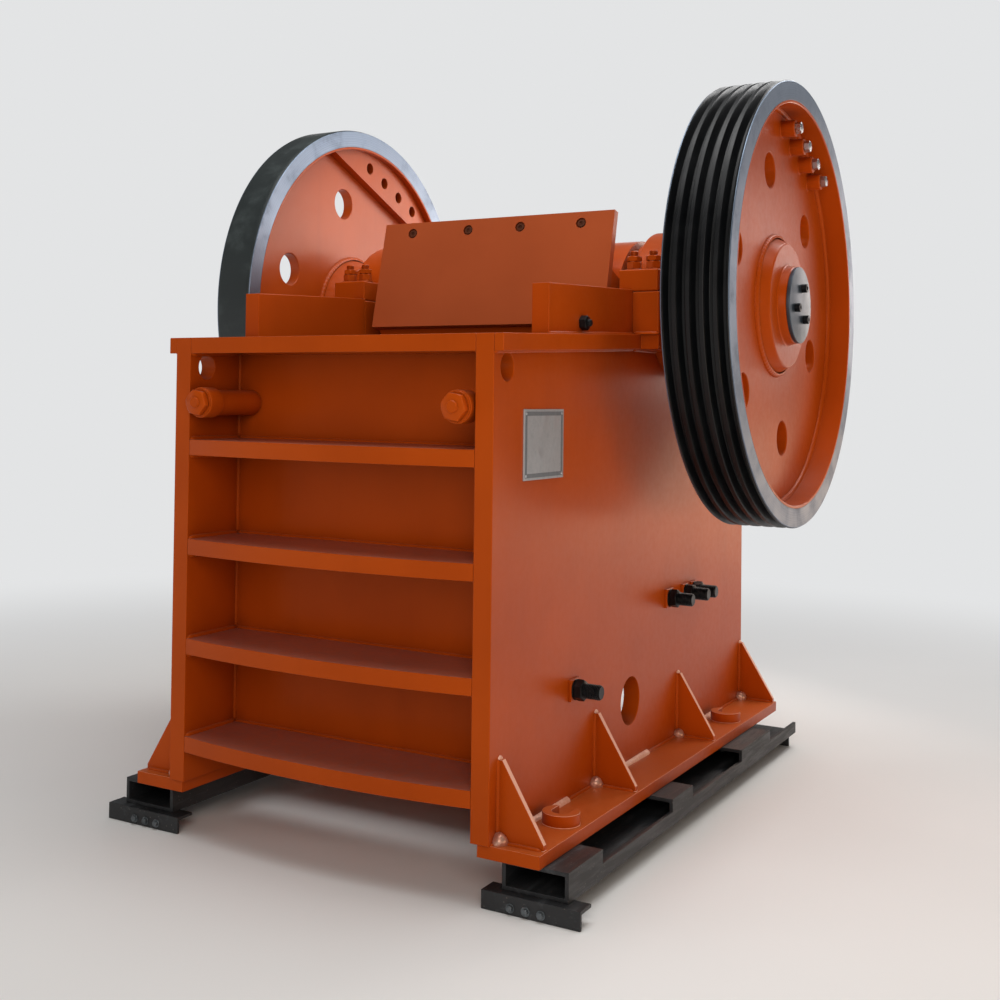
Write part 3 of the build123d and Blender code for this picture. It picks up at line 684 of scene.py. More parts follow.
@dataclass(frozen=True)
class PaleFloor(Finish):
    """Matt white studio paper.

    To the eye: an even pale ground that melts into the lit backdrop some metres away.
    """

    colour: str = "#EDEDEC"
    cloudy: str = "#E4E4E3"
    backdrop: str = "#F4F5F6"
    glow: float = 0.85
    fade_start: float = 1.6
    fade_end: float = 6.0
    cloud_mm: float = 1250.0

    def make(self) -> bpy.types.Material:
        """White with a faint cloud, lit like the backdrop beyond a distance from the middle."""
        coat, fade = Coat(self, 3.0), (self.fade_start, self.fade_end, 0.0)
        tree = coat.tree
        reach = add(tree, "VectorMath", {0: coat.where}, operation="LENGTH").outputs["Value"]
        coat.lay(self.cloudy, (coat.cloud, (0.3, 0.7, 0.0, 0.25)))
        coat.lay("#000000", (reach, (*fade, 1.0)))
        lit = stretch(reach, (*fade, self.glow))
        glow = add(tree, "MapRange", lit, interpolation_type="SMOOTHSTEP").outputs["Result"]
        fill(tree, coat.shader, {
            "Base Color": coat.tone,
            "Emission Color": linear(self.backdrop),
            "Emission Strength": glow,
            "Roughness": 0.85,
            "Specular IOR Level": 0.0,
        })
        return coat.material


ORANGE = Enamel("orange_machine_enamel", Slot.ORANGE, "#B84A0C", "#983806")
# The feet's enamel: a warm pale tone on level tops is painted top light, and a paler tone on slopes
# is a painted highlight.
FOOT_ORANGE = Enamel(
    "foot_enamel_painted_light", Slot.ORANGE, "#BC4C0C", "#983806", "#D0804A", 0.35, "#E8B29A", 0.9
)
DUSTY_ORANGE = Enamel(
    "dusty_machine_enamel", Slot.ORANGE, "#B84A0C", "#983806", "#8A8484", 0.42
)
GUARD_ORANGE = Enamel(
    "filmed_machine_enamel", Slot.ORANGE, "#B4552E", "#9A4624", tint="#FFB890"
)
FLY_ORANGE = Enamel("pale_wheel_enamel", Slot.ORANGE, "#B84A0C", "#983806", tint="#FFEEE4")
# A pale enamel that paints the highlight on heavy weld runs.
PALE_HIGHLIGHT_ORANGE = PlainMetal(
    "pale_highlight_enamel", Slot.ORANGE, "#E8B29A", "#B4552C", 0.1, 0.36, 5.0, 0.5, 0.35
)
RIM_BLACK = BlackGloss("black_wheel_lacquer", Slot.RIM)
FLY_BLACK = BlackGloss("dusty_wheel_lacquer", Slot.RIM, "#101415", "#4A5252", 0.38, 0.9)
FACED = TurnedSteel("faced_steel", Slot.STEEL)
END_STEEL = TurnedSteel("ground_end_plate_steel", Slot.STEEL, "#4F5B66", "#353F48", 0.36, 1.8)
SKID_BLACK = SkidPaint("black_skid_primer", Slot.SKID)
LINER = CastLiner("cast_manganese_liner", Slot.LINER)
SHAFT_STEEL = PlainMetal(
    "oiled_shaft_steel", Slot.STEEL, "#8A8F96", "#4B4640", 1.0, 0.3, 3.0, 0.05
)
BLUED = PlainMetal(
    "black_oxide_bolt_steel", Slot.BOLT, "#17181A", "#2B2C2E", 0.75, 0.36, 2.5, 0.12
)
OILY = PlainMetal(
    "oiled_socket_screw_steel", Slot.BOLT, "#6B3B26", "#2C1A12", 0.5, 0.4, 2.5, 0.08
)
BRIGHT = PlainMetal(
    "bright_zinc_bolt_steel", Slot.STEEL, "#C9CCD0", "#8E9196", 1.0, 0.28, 3.0, 0.1
)
DULL_ZINC = PlainMetal(
    "dull_zinc_bolt_steel", Slot.STEEL, "#6E7478", "#3E4244", 0.8, 0.42, 3.0, 0.1
)
BARE_WELD = PlainMetal(
    "ground_bare_weld", Slot.STEEL, "#D4A48E", "#AE6444", 0.6, 0.32, 6.0, 0.8
)
ALUMINIUM = PlainMetal(
    "brushed_aluminium_plate", Slot.PLATE, "#B9BABC", "#9C9EA1", 0.55, 0.42, 2.0, 0.05, 0.4
)
GREY_EDGE = PlainMetal(
    "grey_printed_border", Slot.PLATE, "#6F7276", "#5F6265", 0.1, 0.45, 3.0, 0.05, 0.4
)
PAPER = PaleFloor("pale_studio_floor", None)


# ---- pieces --------------------------------------------------------------------------------


class Workshop:
    """Turns skins into finished pieces and keeps the materials that they share."""

    def __init__(self) -> None:
        """Starts with no material made."""
        self.made: dict[str, bpy.types.Material] = {}

    def material(self, finish: Finish) -> bpy.types.Material:
        """The material of a finish, made once."""
        if finish.name not in self.made:
            self.made[finish.name] = finish.make()
        return self.made[finish.name]

    def hand_over(
        self, mesh: bpy.types.Mesh, finish: Finish, body: Body, nodes: Sequence[str], degrees: float
    ) -> bpy.types.Object:
        """Makes a mesh a piece with its finish and body.

        Args:
            mesh: the mesh, which has the piece's name.
            finish: its finish.
            body: what it rides on.
            nodes: the CAD nodes that it stands for.
            degrees: the turn above which an edge stays sharp.

        Returns:
            The piece.
        """
        mesh.polygons.foreach_set("use_smooth", np.ones(len(mesh.polygons), bool))
        mesh.set_sharp_from_angle(angle=math.radians(degrees))
        mesh.materials.clear()
        mesh.materials.append(self.material(finish))
        obj = bpy.data.objects.new(mesh.name, mesh)
        bpy.context.scene.collection.objects.link(obj)
        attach(obj, body.value)
        if nodes:
            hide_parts(*nodes)
        log.info("%s: %d faces, %s, on %s", obj.name, len(mesh.polygons), finish.name, body.value)
        return obj

    def piece(
        self, name: str, skins: Sequence[Surface], finish: Finish, body: Body = Body.FRAME,
        nodes: Sequence[str] = (), degrees: float = 35.0,
    ) -> None:
        """Makes a piece from skins.

        Args:
            name: the piece's name.
            skins: its skins in machine millimetres.
            finish: its finish.
            body: what it rides on.
            nodes: the CAD nodes that it stands for.
            degrees: the turn above which an edge stays sharp.
        """
        skin = joined(skins)
        mesh = bpy.data.meshes.new(name)
        mesh.from_pydata(placed(skin.points).tolist(), [], skin.faces)
        work = bmesh.new()
        work.from_mesh(mesh)
        bmesh.ops.remove_doubles(work, verts=work.verts, dist=1e-6)
        bmesh.ops.recalc_face_normals(work, faces=work.faces)
        work.to_mesh(mesh)
        work.free()
        self.hand_over(mesh, finish, body, nodes, degrees)

    def eased(self, node: str, width: float, finish: Finish, body: Body = Body.FRAME) -> None:
        """Dresses a CAD node in its own skin, with flat faces whole and edges rounded off.

        Args:
            node: the CAD node, which the piece stands for.
            width: how wide its edges are rounded, in millimetres.
            finish: its finish.
            body: what it rides on.
        """
        same, flat, corner, sharp = 2e-6, math.radians(0.4), math.radians(35), 28.0
        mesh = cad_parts[node].data.copy()
        mesh.name = node + "_skin"
        work = bmesh.new()
        work.from_mesh(mesh)
        bmesh.ops.remove_doubles(work, verts=work.verts, dist=same)
        bmesh.ops.dissolve_limit(work, angle_limit=flat, verts=work.verts, edges=work.edges)
        work.to_mesh(mesh)
        work.free()
        if "custom_normal" in mesh.attributes:
            mesh.attributes.remove(mesh.attributes["custom_normal"])
        obj = self.hand_over(mesh, finish, body, [node], sharp)
        soft = obj.modifiers.new("eased_edges", "BEVEL")
        soft.width = width / 1000.0
        soft.segments = 2
        soft.limit_method = "ANGLE"
        soft.angle_limit = corner
        soft.harden_normals = True


SHOP = Workshop()


def pairs(*stems: str) -> list[str]:
    """Names of nodes that the right and the left side both have."""
    return [stem + "_" + hand for stem in stems for hand in HANDS]


@dataclass
class PlateWork:
    """The welded body: plates, ribs, feet, bearing seats and castings in enamel."""

    flame_cut: float = 2.5
    cast: float = 6.0
    rolled: float = 1.5

    def dress(self) -> None:
        """Eases and paints each node."""
        cut, cast = self.flame_cut, self.cast
        plates = ["front_wall", "front_top_flange", "rear_wall", "toggle_seat", "toggle_plate"]
        castings = pairs("pedestal", "bearing_cap", "bearing", "front_bar")
        skid = [*pairs("skid_rail"), "skid_member_front", "skid_member_rear"]
        for nodes, width, finish, body in (
            (pairs("side_plate", "side_flange", "upstand") + plates, cut, ORANGE, Body.FRAME),
            (pairs("foot"), cut, FOOT_ORANGE, Body.FRAME),
            (["front_ribs"], cut, DUSTY_ORANGE, Body.FRAME),
            (castings, cast, ORANGE, Body.FRAME),
            (["fixed_jaw_plate", *pairs("cheek_plate")], cut, LINER, Body.FRAME),
            (skid, self.rolled, SKID_BLACK, Body.FRAME),
            (["swing_jaw"], cast, ORANGE, Body.SWING),
            (["guard_plate"], cut, GUARD_ORANGE, Body.SWING),
            (["movable_jaw_plate"], cut, LINER, Body.SWING),
        ):
            for node in nodes:
                SHOP.eased(node, width, finish, body)


@dataclass
class WeldWork:
    """Fillet welds in the corners of the plates, and the lumps at the gussets' feet."""

    heavy: float = 11.0
    light: float = 8.0
    lump: float = 23.0
    run: float = 440.0
    lip: float = 4.0
    inset: float = 12.0
    upstand_front: float = 340.0
    smooth: float = 60.0

    def bays(self) -> list[Surface]:
        """Welds of the front ribs and wall against the side plates and each other."""
        wall, inner, bar = PLAN.wall_front, PLAN.inner, PLAN.bar
        tops = [share * PLAN.height for share in PLAN.rib_shares]
        ceilings = [PLAN.top(wall) - bar, *[top - bar for top in tops[:-1]]]
        edges = [(z, z, 1) for z in tops] + [(z, z, -1) for z in ceilings[1:]]
        ways = (-1, 0, 0), (0, -1, 0)
        right, across = [], []
        for start, z, way in [*edges, (PLAN.height - bar, ceilings[0], -1)]:
            corner, up = (inner, wall, z), (0, 0, way)
            right.append(straight((inner, self.lip, start), corner, ways[0], up, self.heavy))
            across.append(straight((-inner, wall, z), corner, ways[1], up, self.light))
        for low, high in zip(tops, ceilings):
            right.append(straight((inner, wall, low), (inner, wall, high), *ways, self.light))
        return [*across, *right, *map(mirrored, right)]

    def flank(self) -> list[Surface]:
        """Welds on the outer side of the right side plate."""
        face, light, tall, half = PLAN.outer, self.light, PLAN.gusset_top, PLAN.gusset_half
        toe, out, up, down = PLAN.foot_edge - self.inset, (1, 0, 0), (0, 0, 1), (0, 0, -1)
        edges = [(y + way * half, (0, way, 0)) for y in PLAN.gussets for way in (-1, 1)]
        stops = [self.inset, *[y for y, _ in edges], PLAN.length]
        front, back = PLAN.bearing_front, self.upstand_front
        high = PLAN.top(front)
        low, corner = high - PLAN.bar, (face, front, high)
        skins = [
            straight((face, 0, PLAN.height - PLAN.bar), (face, front, low), out, down, light),
            straight((face, front, low), (face, PLAN.length, low), out, down, light),
            straight((face, back, PLAN.top(back)), corner, out, up, light),
            straight(corner, (PLAN.shelf_edge, front, high), (0, -1, 0), up, self.heavy),
        ]
        for y, way in edges:
            skins.append(straight((face, y, 0), (face, y, tall), out, way, light))
            skins.append(straight((face, y, 0), (toe, y, 0), way, up, light))
        for start, end in zip(stops[::2], stops[1::2]):
            skins.append(straight((face, start, 0), (face, end, 0), out, up, light))
        return skins

    def highlighted_runs(self) -> list[Surface]:
        """Heavy runs in a pale tone that is a painted highlight: over each gusset, and behind its
        foot.
        """
        face, half, tall = PLAN.outer, PLAN.gusset_half, PLAN.gusset_top
        legs, over, behind = ((1, 0, 0), (0, 0, 1)), self.heavy + 2.0, self.heavy + 3.0
        right = [
            straight((face, y - half, tall), (face, y + half, tall), *legs, over, 4.0)
            for y in PLAN.gussets
        ] + [
            straight((face, y + half, 0), (face, y + half + self.run, 0), *legs, behind, 5.0)
            for y in PLAN.gussets[:-1]
        ]
        return [*right, *map(mirrored, right)]

    def lumps(self) -> list[Surface]:
        """Lumps where a gusset, the plate and the foot meet.

        Each is a ball whose radius grows and shrinks by the sine of five times its height's
        angle and of three times the angle around, set slantwise in its corner.

        Returns:
            The skins.
        """
        skins: list[Surface] = []
        angles, lift, gap = np.linspace(0.0, np.pi, 14)[1:-1], 9.0, 15.0
        shrink, squash, swell, wobble = 0.07, 0.8, 0.08, 0.06
        for side in HANDS.values():
            for number, y in enumerate(PLAN.gussets):
                size = self.lump * (1.0 - shrink * (number % 3))
                radii = size * np.sin(angles) * (1.0 + swell * np.sin(5.0 * angles))
                ball = lathe(list(zip(radii, -squash * size * np.cos(angles))), 24)
                turn = np.arctan2(ball.points[:, 1], ball.points[:, 0])
                ball.points[:, :2] *= (1.0 + wobble * np.sin(3.0 * turn + number))[:, None]
                spot = (side * (PLAN.outer + gap), y - PLAN.gusset_half - lift, lift)
                skins.append(aimed(ball, spot, (side * 0.6, -0.5, 0.62)))
        return skins

    def dress(self) -> None:
        """Lays the welds."""
        right = self.flank()
        for name, skins, finish in (
            ("front_bay_welds", self.bays(), ORANGE),
            ("flank_welds_right", right, ORANGE),
            ("flank_welds_left", list(map(mirrored, right)), ORANGE),
            ("highlight_welds", self.highlighted_runs(), PALE_HIGHLIGHT_ORANGE),
            ("gusset_foot_welds", self.lumps(), BARE_WELD),
        ):
            SHOP.piece(name, skins, finish, degrees=self.smooth)


@dataclass
class SideBolts:
    """Through bolts of the toggle seat and the liner: washers, nuts and threaded ends."""

    spots: tuple[Pair, ...] = (
        (1334.0, 512.0), (1498.0, 512.0), (1584.0, 512.0), (533.0, 331.0),
    )
    plate: float = 66.0
    plate_thick: float = 10.0
    ring: Trio = (32.0, 23.0, 4.0)
    nut: Pair = (58.0, 27.0)
    rod: Trio = (23.5, 86.0, 5.0)
    upstand_spot: Pair = (572.0, 1458.0)
    upstand_head: Pair = (41.0, 22.0)
    upstand_rod: Trio = (11.0, 34.0, 3.0)
    turn: float = 11.0
    turn_step: float = 17.0
    upstand_turn: float = 8.0

    def square(self) -> Surface:
        """A square plate with broken edges: the radius at each angle is half its side over the
        greater of the cosine's and the sine's size."""
        angle, soft, thick = around(40), 1.5, self.plate_thick
        radius = self.plate / 2.0 / np.maximum(np.abs(np.cos(angle)), np.abs(np.sin(angle)))
        return lathe([(radius, 0.0), (radius, thick - soft), (radius - soft, thick)], 40)

    def dress(self) -> None:
        """Sets a washer, a nut and a rod at each spot, and a screw on each upstand."""
        for hand, side in HANDS.items():
            face, out, thick = side * PLAN.outer, (side, 0, 0), self.plate_thick
            washers, nuts = [], []
            for number, (y, z) in enumerate(self.spots):
                washers.append(aimed(self.square(), (face, y, z), out))
                turn = self.turn + self.turn_step * number
                nuts += stacked(
                    (face, y, z), out,
                    (washer(*self.ring), thick, 0.0),
                    (hex_block(*self.nut), thick + self.ring[2], turn),
                    (thread(*self.rod), thick, 0.0),
                )
            nuts += stacked(
                (face, *self.upstand_spot), out,
                (hex_block(*self.upstand_head, both=False), 0.0, self.upstand_turn),
                (thread(*self.upstand_rod), 0.0, 0.0),
            )
            SHOP.piece("bolt_washers_" + hand, washers, ORANGE)
            SHOP.piece("through_bolts_" + hand, nuts, BLUED, nodes=["side_bolts_" + hand])


@dataclass
class FrontBolts:
    """Nuts on the round bars in the upper front bay, and bolt heads on the skid's angles."""

    bar: Trio = (465.0, -12.0, 1195.0)
    bar_ring: Trio = (45.0, 21.0, 4.0)
    bar_nut: Pair = (74.0, 20.0)
    bar_rod: Trio = (19.0, 30.0, 4.0)
    skid_xs: tuple[float, ...] = (638.0, 684.0, 730.0)
    skid_place: Pair = (10.0, -153.0)
    skid_ring: Trio = (13.0, 6.0, 2.0)
    skid_head: Pair = (17.0, 9.0)
    bar_turn: float = 20.0
    skid_turn_step: float = 14.0

    def dress(self) -> None:
        """Sets a washer, a nut and a rod end on each bar, and three heads on each angle."""
        nuts, heads, ahead = [], [], (0, -1, 0)
        for side in HANDS.values():
            nuts += stacked(
                (side * self.bar[0], *self.bar[1:]), ahead,
                (washer(*self.bar_ring), 0.0, 0.0),
                (hex_block(*self.bar_nut), self.bar_ring[2], self.bar_turn),
                (thread(*self.bar_rod), 0.0, 0.0),
            )
            for number, x in enumerate(self.skid_xs):
                turn = self.skid_turn_step * number
                heads += stacked(
                    (side * x, *self.skid_place), ahead,
                    (washer(*self.skid_ring), 0.0, 0.0),
                    (hex_block(*self.skid_head, both=False), 0.0, turn),
                )
        SHOP.piece("front_bar_nuts", nuts, ORANGE)
        SHOP.piece("skid_bolts", heads, DULL_ZINC)


@dataclass
class BearingWork:
    """Studs on the bearing caps and the ring of screws round each cover."""

    stud_ys: tuple[float, ...] = (1040.0, 1700.0)
    stud_xs: tuple[float, ...] = (556.0, 626.0)
    cap_top: float = 1663.0
    ring: Trio = (31.0, 16.0, 5.0)
    nut: Pair = (46.0, 26.0)
    lock_nut: Pair = (46.0, 18.0)
    lock_gap: float = 0.5
    rod: Trio = (15.0, 68.0, 4.0)
    outer_face: float = 712.0
    inner_face: float = 489.0
    screw_ring: float = 178.0
    screws: int = 8
    screw_head: Pair = (24.0, 10.0)
    nut_turn: float = 13.0
    lock_turn: float = 37.0
    screw_turn_step: float = 7.0

    def dress(self) -> None:
        """Sets the studs and the screws on both bearings."""
        studs, screws, lift = [], [], self.ring[2]
        lock_lift = lift + self.nut[1] + self.lock_gap
        for side in HANDS.values():
            for x, y in product(self.stud_xs, self.stud_ys):
                studs += stacked(
                    (side * x, y, self.cap_top), (0, 0, 1),
                    (washer(*self.ring), 0.0, 0.0),
                    (hex_block(*self.nut), lift, self.nut_turn),
                    (hex_block(*self.lock_nut), lock_lift, self.lock_turn),
                    (thread(*self.rod), 0.0, 0.0),
                )
            for face, way in ((side * self.outer_face, side), (side * self.inner_face, -side)):
                for number in range(self.screws):
                    degrees = (number + 0.5) * 360.0 / self.screws
                    head = hex_block(*self.screw_head, both=False)
                    spot = (face, *on_ring(self.screw_ring, degrees))
                    turn = self.screw_turn_step * number
                    screws.append(aimed(head, spot, (way, 0, 0), turn))
        SHOP.piece("bearing_cap_studs", studs, ORANGE)
        SHOP.piece("bearing_cover_screws", screws, ORANGE)


@dataclass
class GuardWork:
    """Screws sunk in the guard plate."""

    xs: tuple[float, ...] = (-349.0, -108.0, 108.0, 349.0)
    foot: Pair = (967.0, 1484.0)
    top: Pair = (1060.0, 1883.0)
    drop: float = 42.0
    sink: float = 12.0
    head: Trio = (14.5, 10.0, 13.0)
    turn_step: float = 12.0

    def dress(self) -> None:
        """Sets four screws with their heads just under the plate's face."""
        along = np.array([0.0, self.top[0] - self.foot[0], self.top[1] - self.foot[1]])
        length = float(np.linalg.norm(along))
        along /= length
        out = np.array([0.0, -along[2], along[1]])
        skins = []
        for number, x in enumerate(self.xs):
            spot = np.array([x, *self.foot]) + along * (length - self.drop) - out * self.sink
            skins.append(aimed(screw_head(*self.head), spot, out, self.turn_step * number))
        SHOP.piece("guard_screws", skins, OILY, Body.SWING)


@dataclass
class NamePlate:
    """The blank plate on the right side, with a grey border and four rivets."""

    y: Pair = (179.0, 440.0)
    z: Pair = (985.0, 1190.0)
    face: float = PLAN.outer + 4.0
    soft: float = 0.8
    inset: float = 7.0
    border: float = 12.0
    proud: float = 0.4
    rivet_inset: float = 13.0
    rivet: Pair = (4.5, 2.4)

    def ring(self) -> Surface:
        """A flat rectangular ring: four corners inward and outward at two heights."""
        foot, top, grown = self.face - self.proud, self.face + self.proud, self.inset + self.border
        rings = []
        for edge, x in ((self.inset, foot), (self.inset, top), (grown, top), (grown, foot)):
            a, c = self.y[0] + edge, self.y[1] - edge
            b, d = self.z[0] + edge, self.z[1] - edge
            rings.append([(x, a, b), (x, c, b), (x, c, d), (x, a, d)])
        return carried(np.array(rings, float), True)

    def dress(self) -> None:
        """Sets plate, border and rivets."""
        SHOP.eased("name_plate", self.soft, ALUMINIUM)
        SHOP.piece("name_plate_border", [self.ring()], GREY_EDGE)
        radius, height = self.rivet
        angles = np.linspace(np.pi / 2.0, 0.08, 6)
        dome = lathe(list(zip(radius * np.sin(angles), height * np.cos(angles))), 20)
        (low, high), (foot, top), inset = self.y, self.z, self.rivet_inset
        spots = product((self.face,), (low + inset, high - inset), (foot + inset, top - inset))
        SHOP.piece("name_plate_rivets", [aimed(dome, spot, (1, 0, 0)) for spot in spots], BRIGHT)


@dataclass
class Wheel:
    """One wheel on the shaft: rim, steel face rings, web, hub and balance weight."""

    name: str
    side: int
    near: float
    far: float
    web_near: float
    web_far: float
    lacquer: Finish
    enamel: Finish
    grooves: int = 0
    pitch: float = 43.0
    groove_top: float = 30.0
    groove_foot: float = 9.0
    groove_depth: float = 28.0
    radius: float = 767.0
    rim_inner: float = 690.0
    lining: float = 9.0
    ring_thick: float = 4.0
    root: float = 237.0
    weld: float = 13.0
    turned_soft: float = 3.0
    steps: Sequence[int] = (24, 190)

    def tread(self) -> Surface:
        """The black rim.

        Its radius across the width is the wheel's, less the groove depth times how far the
        place lies down a groove's flank: the half top width less the distance from the groove's
        middle, over the flank's width, held between none and one and slightly rounded.

        Returns:
            The skin, turned about the shaft.
        """
        soft, low, high = self.turned_soft, self.near + self.ring_thick, self.far - self.ring_thick
        x = np.linspace(low, high, self.steps[self.grooves > 0])
        radius = self.radius - np.clip(soft - np.minimum(x - low, high - x), 0.0, soft)
        if self.grooves:
            numbers = np.arange(self.grooves) - (self.grooves - 1) / 2.0
            centres = (self.near + self.far) / 2.0 + numbers * self.pitch
            away = np.abs(x[:, None] - centres).min(axis=1)
            flank = (self.groove_top - self.groove_foot) / 2.0
            share = np.clip((self.groove_top / 2.0 - away) / flank, 0.0, 1.0)
            radius -= self.groove_depth * (0.7 * share + 0.3 * share * share * (3.0 - 2.0 * share))
        foot = self.rim_inner + self.lining
        return on_shaft([(foot, low), *zip(radius, x), (foot, high)])

    def face_rings(self) -> list[Surface]:
        """Two faced steel rings at the sides of the rim, their outer corners broken."""
        inner, outer, soft = self.rim_inner + self.lining, self.radius - self.turned_soft, 1.5
        skins = []
        for x, out in ((self.near, -1.0), (self.far, 1.0)):
            back, edge = x - out * self.ring_thick, x - out * soft
            rows = [(inner, back), (outer, back), (outer, edge), (outer - soft, x)]
            skins.append(on_shaft([*rows, (inner + soft, x), (inner, edge)]))
        return skins

    def inner_skin(self) -> Surface:
        """The painted inside of the rim, with rounded lips."""
        inner, outer, soft = self.rim_inner, self.rim_inner + self.lining, 2.5
        near = [(inner, self.near + soft), (inner + soft, self.near), (outer, self.near)]
        far = [(outer, self.far), (inner + soft, self.far), (inner, self.far - soft)]
        return on_shaft([*near, *far])

    def welds(self) -> list[Surface]:
        """Fillets of the web against the rim and against the hub, on both faces."""
        angle, skins = around(480), []
        outward = np.stack([np.zeros_like(angle), np.cos(angle), np.sin(angle)], -1)
        for x, out in ((self.web_near, -1), (self.web_far, 1)):
            for radius, way in ((self.rim_inner, -1), (self.root, 1)):
                path = np.array([x, PLAN.shaft_y, PLAN.shaft_z]) + radius * outward
                skins.append(bead(path, way * outward, (out, 0, 0), self.weld, closed=True))
        return skins

    def dress(self) -> None:
        """Makes the wheel on its own side of the machine."""
        name, enamel = self.name, self.enamel
        for part, skins, finish, nodes, degrees in (
            ("_tread", [self.tread()], self.lacquer, [name + "_rim"], 40.0),
            ("_face_rings", self.face_rings(), FACED, [], 35.0),
            ("_rim_lining", [self.inner_skin()], enamel, [], 35.0),
            ("_fillets", self.welds(), enamel, [], 60.0),
        ):
            skins = [mirrored(skin, self.side) for skin in skins]
            SHOP.piece(name + part, skins, finish, Body.SHAFT, nodes, degrees)
        for part, width in (("_web", 4.0), ("_hub", 6.0), ("_weight", 3.0)):
            SHOP.eased(name + part, width, enamel, Body.SHAFT)


@dataclass
class ShaftWork:
    """The shaft, its end plates and the bolts on the end plates and the bosses."""

    soft: float = 3.0
    weight_degrees: float = 67.7
    bolt_line: float = 605.0
    bolt_pitch: float = 122.0
    bolts: int = 4
    bolt_head: Pair = (36.0, 20.0)
    boss_face: float = 1000.0
    end_faces: Pair = (1035.0, -939.0)
    end_radius: float = 132.0
    end_thick: float = 12.0
    screw_ring: float = 63.0
    screw_degrees: tuple[float, ...] = (71.0, 191.0, 311.0)
    screw: Trio = (15.0, 18.0, 14.0)
    bolt_turn_step: float = 9.0
    screw_turn_step: float = 20.0

    def boss_bolts(self) -> list[Surface]:
        """The weight's bolts: even steps along its chord, turned to its angle."""
        turn, skins = math.radians(self.weight_degrees), []
        for number in range(self.bolts):
            step = (number - (self.bolts - 1) / 2.0) * self.bolt_pitch
            y = PLAN.shaft_y + self.bolt_line * math.cos(turn) + step * math.sin(turn)
            z = PLAN.shaft_z + self.bolt_line * math.sin(turn) - step * math.cos(turn)
            head, roll = hex_block(*self.bolt_head), self.bolt_turn_step * number
            skins.append(aimed(head, (self.boss_face, y, z), (1, 0, 0), roll))
        return skins

    def end_disc(self, face: float, way: int) -> Surface:
        """A faced disc whose outer corner is broken by a curve.

        Args:
            face: place of its outer face along the shaft.
            way: 1 where it faces right, -1 where it faces left.

        Returns:
            The skin.
        """
        turn, soft = np.linspace(0.0, np.pi / 2.0, 5), 2.5
        radii = self.end_radius - soft * (1.0 - np.cos(turn))
        faces = face - way * soft * (1.0 - np.sin(turn))
        back = (self.end_radius, face - way * self.end_thick)
        return on_shaft([back, *zip(radii, faces)], 128, ring=False)

    def dress(self) -> None:
        """Paints the shaft and sets the discs and the bolts."""
        SHOP.eased("eccentric_shaft", self.soft, SHAFT_STEEL, Body.SHAFT)
        discs, screws = [], []
        for face, way in zip(self.end_faces, (1, -1)):
            discs.append(self.end_disc(face, way))
            for number, degrees in enumerate(self.screw_degrees):
                spot = (face, *on_ring(self.screw_ring, degrees))
                turn = self.screw_turn_step * number
                screws.append(aimed(screw_head(*self.screw), spot, (way, 0, 0), turn))
        SHOP.piece("end_discs", discs, END_STEEL, Body.SHAFT, ["shaft_end_plates"])
        SHOP.piece("end_screws", screws, BLUED, Body.SHAFT)
        SHOP.piece("boss_bolts", self.boss_bolts(), BRIGHT, Body.SHAFT)


def posed(name: str, data: Any, spot: Triple, axes: Sequence[Array]) -> bpy.types.Object:
    """Puts a light or a camera in its place.

    Args:
        name: its name.
        data: its settings.
        spot: its place in metres.
        axes: its right, its up and its back.

    Returns:
        The object.
    """
    obj = bpy.data.objects.new(name, data)
    turn = Matrix(np.stack(axes, 1).tolist()).to_4x4()
    obj.matrix_world = Matrix.Translation(spot) @ turn
    bpy.context.scene.collection.objects.link(obj)
    return obj


@dataclass(frozen=True)
class Lamp:
    """A soft rectangular light that looks at a point and isn't seen itself."""

    name: str
    spot: Trio
    target: Trio
    size: Pair
    watts: float
    colour: str = "#FFFFFF"

    def hang(self) -> None:
        """Makes the light, whose long side stays level."""
        data = bpy.data.lights.new(self.name, "AREA")
        data.shape = "RECTANGLE"
        data.size, data.size_y = self.size
        data.energy = self.watts
        data.color = linear(self.colour)[:3]
        back = np.array(self.spot) - np.array(self.target)
        back /= np.linalg.norm(back)
        side = np.cross((0.0, 0.0, 1.0), back)
        side /= np.linalg.norm(side)
        light = posed(self.name, data, self.spot, (side, np.cross(back, side), back))
        light.visible_camera = False


LAMPS: tuple[Lamp, ...] = (
    Lamp("key_softbox", (2.4, -5.2, 2.8), (0.2, -0.6, 1.0), (3.0, 2.6), 98.0, "#FFF6EC"),
    Lamp("side_fill", (4.6, -0.6, 0.7), (0.55, 0.0, 0.6), (2.6, 1.2), 24.0, "#FFD6A8"),
    Lamp("overhead_softbox", (0.6, -0.6, 6.2), (0.0, 0.0, 1.0), (4.5, 3.5), 200.0),
    Lamp("left_strip", (-5.0, -3.6, 2.6), (0.0, 0.0, 1.4), (0.9, 3.6), 13.0),
    Lamp("low_window", (3.0, 7.0, 0.5), (0.6, 0.2, 0.6), (4.4, 1.4), 28.0, "#FFCC98"),
    Lamp("high_window", (3.5, 7.0, 2.6), (0.6, 0.2, 1.7), (4.0, 1.4), 27.0, "#FFF0EA"),
    Lamp("back_fill", (-3.5, 5.5, 3.5), (0.0, 0.0, 1.2), (3.0, 3.0), 35.0),
    Lamp("flywheel_softbox", (1.4, 2.6, 4.2), (-0.87, 0.3, 1.8), (1.6, 1.6), 50.0),
    Lamp("flywheel_sheen", (0.55, 2.3, 2.1), (-0.8, 0.3, 1.95), (1.5, 1.3), 28.0, "#FFEFE2"),
)


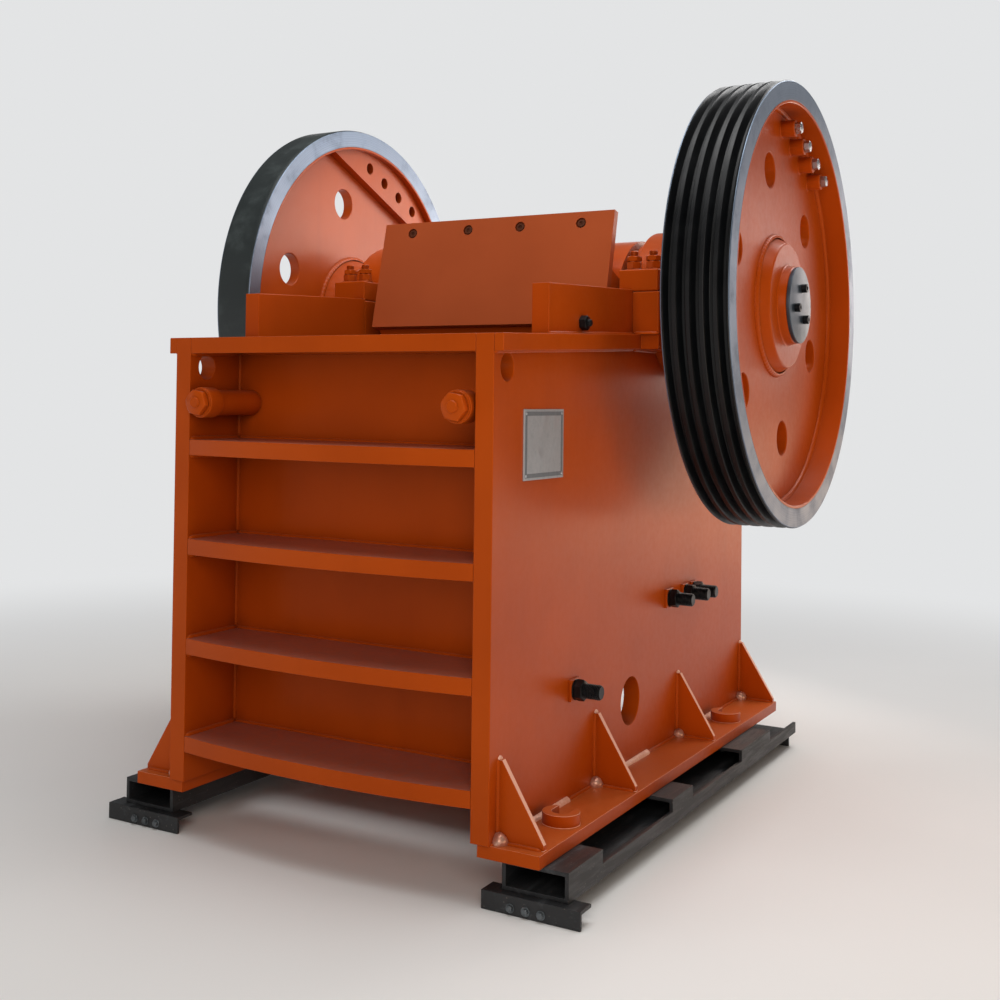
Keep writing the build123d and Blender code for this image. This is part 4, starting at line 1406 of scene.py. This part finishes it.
@dataclass
class Studio:
    """Floor, lights and the camera at the photograph's view."""

    eye: Trio = (2.2337, -4.2403, 1.3908)
    yaw: float = 31.259
    pitch: float = -1.352
    roll: float = 0.742
    sensor: float = 36.0
    lens: float = 47.19
    sight: float = 300.0
    shift: Pair = (0.0726, -0.1331)
    floor_radius: float = 60000.0
    floor_thick: float = 30.0
    floor_drop: float = 0.5
    ambient: float = 0.13
    backdrop: float = 0.85

    def camera(self) -> None:
        """Places the camera: its axes are the right, up and back of the fitted view."""
        yaw, pitch, roll = (math.radians(v) for v in (self.yaw, self.pitch, self.roll))
        level = np.array([-math.sin(yaw), math.cos(yaw), 0.0])
        ahead = level * math.cos(pitch) - np.array([0.0, 0.0, math.sin(pitch)])
        right = np.array([math.cos(yaw), math.sin(yaw), 0.0])
        up = np.cross(right, ahead)
        across = right * math.cos(roll) + up * math.sin(roll)
        upward = up * math.cos(roll) - right * math.sin(roll)
        data = bpy.data.cameras.new("photo_camera")
        data.sensor_width = self.sensor
        data.lens = self.lens
        data.shift_x, data.shift_y = self.shift
        data.clip_end = self.sight
        camera = posed("photo_camera", data, self.eye, (across, upward, -ahead))
        bpy.context.scene.camera = camera

    def floor(self) -> None:
        """Lays a wide disc just under the skid."""
        top = PLAN.ground - self.floor_drop
        disc = lathe([(self.floor_radius, top - self.floor_thick), (self.floor_radius, top)], 96)
        mesh = bpy.data.meshes.new("studio_floor")
        mesh.from_pydata(placed(disc.points).tolist(), [], disc.faces)
        mesh.materials.append(SHOP.material(PAPER))
        floor = bpy.data.objects.new("studio_floor", mesh)
        bpy.context.scene.collection.objects.link(floor)

    def room(self) -> None:
        """Makes the world: bright where the camera sees it, dim where it lights the part."""
        world = bpy.data.worlds.new("studio")
        bpy.context.scene.world = world
        world.use_nodes = True
        tree = world.node_tree
        seen = add(tree, "LightPath").outputs["Is Camera Ray"]
        strength = add(tree, "MapRange", stretch(seen, (0.0, 1.0, self.ambient, self.backdrop)))
        fill(tree, tree.nodes["Background"], {
            "Color": linear(PAPER.backdrop),
            "Strength": strength.outputs["Result"],
        })

    def dress(self) -> None:
        """Floor, world, lights and camera."""
        self.floor()
        self.room()
        for lamp in LAMPS:
            lamp.hang()
        bpy.context.scene.view_settings.view_transform = "Standard"
        self.camera()


def main() -> None:
    """Builds the pieces in order."""
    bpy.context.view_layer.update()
    pulley = Wheel("pulley", 1, 817.0, 1035.0, 906.0, 950.0, RIM_BLACK, ORANGE, grooves=5)
    flywheel = Wheel("flywheel", -1, 777.0, 927.0, 837.0, 881.0, FLY_BLACK, FLY_ORANGE)
    for group in (
        PlateWork(), WeldWork(), SideBolts(), FrontBolts(), BearingWork(), GuardWork(),
        NamePlate(), pulley, flywheel, ShaftWork(), Studio(),
    ):
        group.dress()


if __name__ == "__main__":
    main()
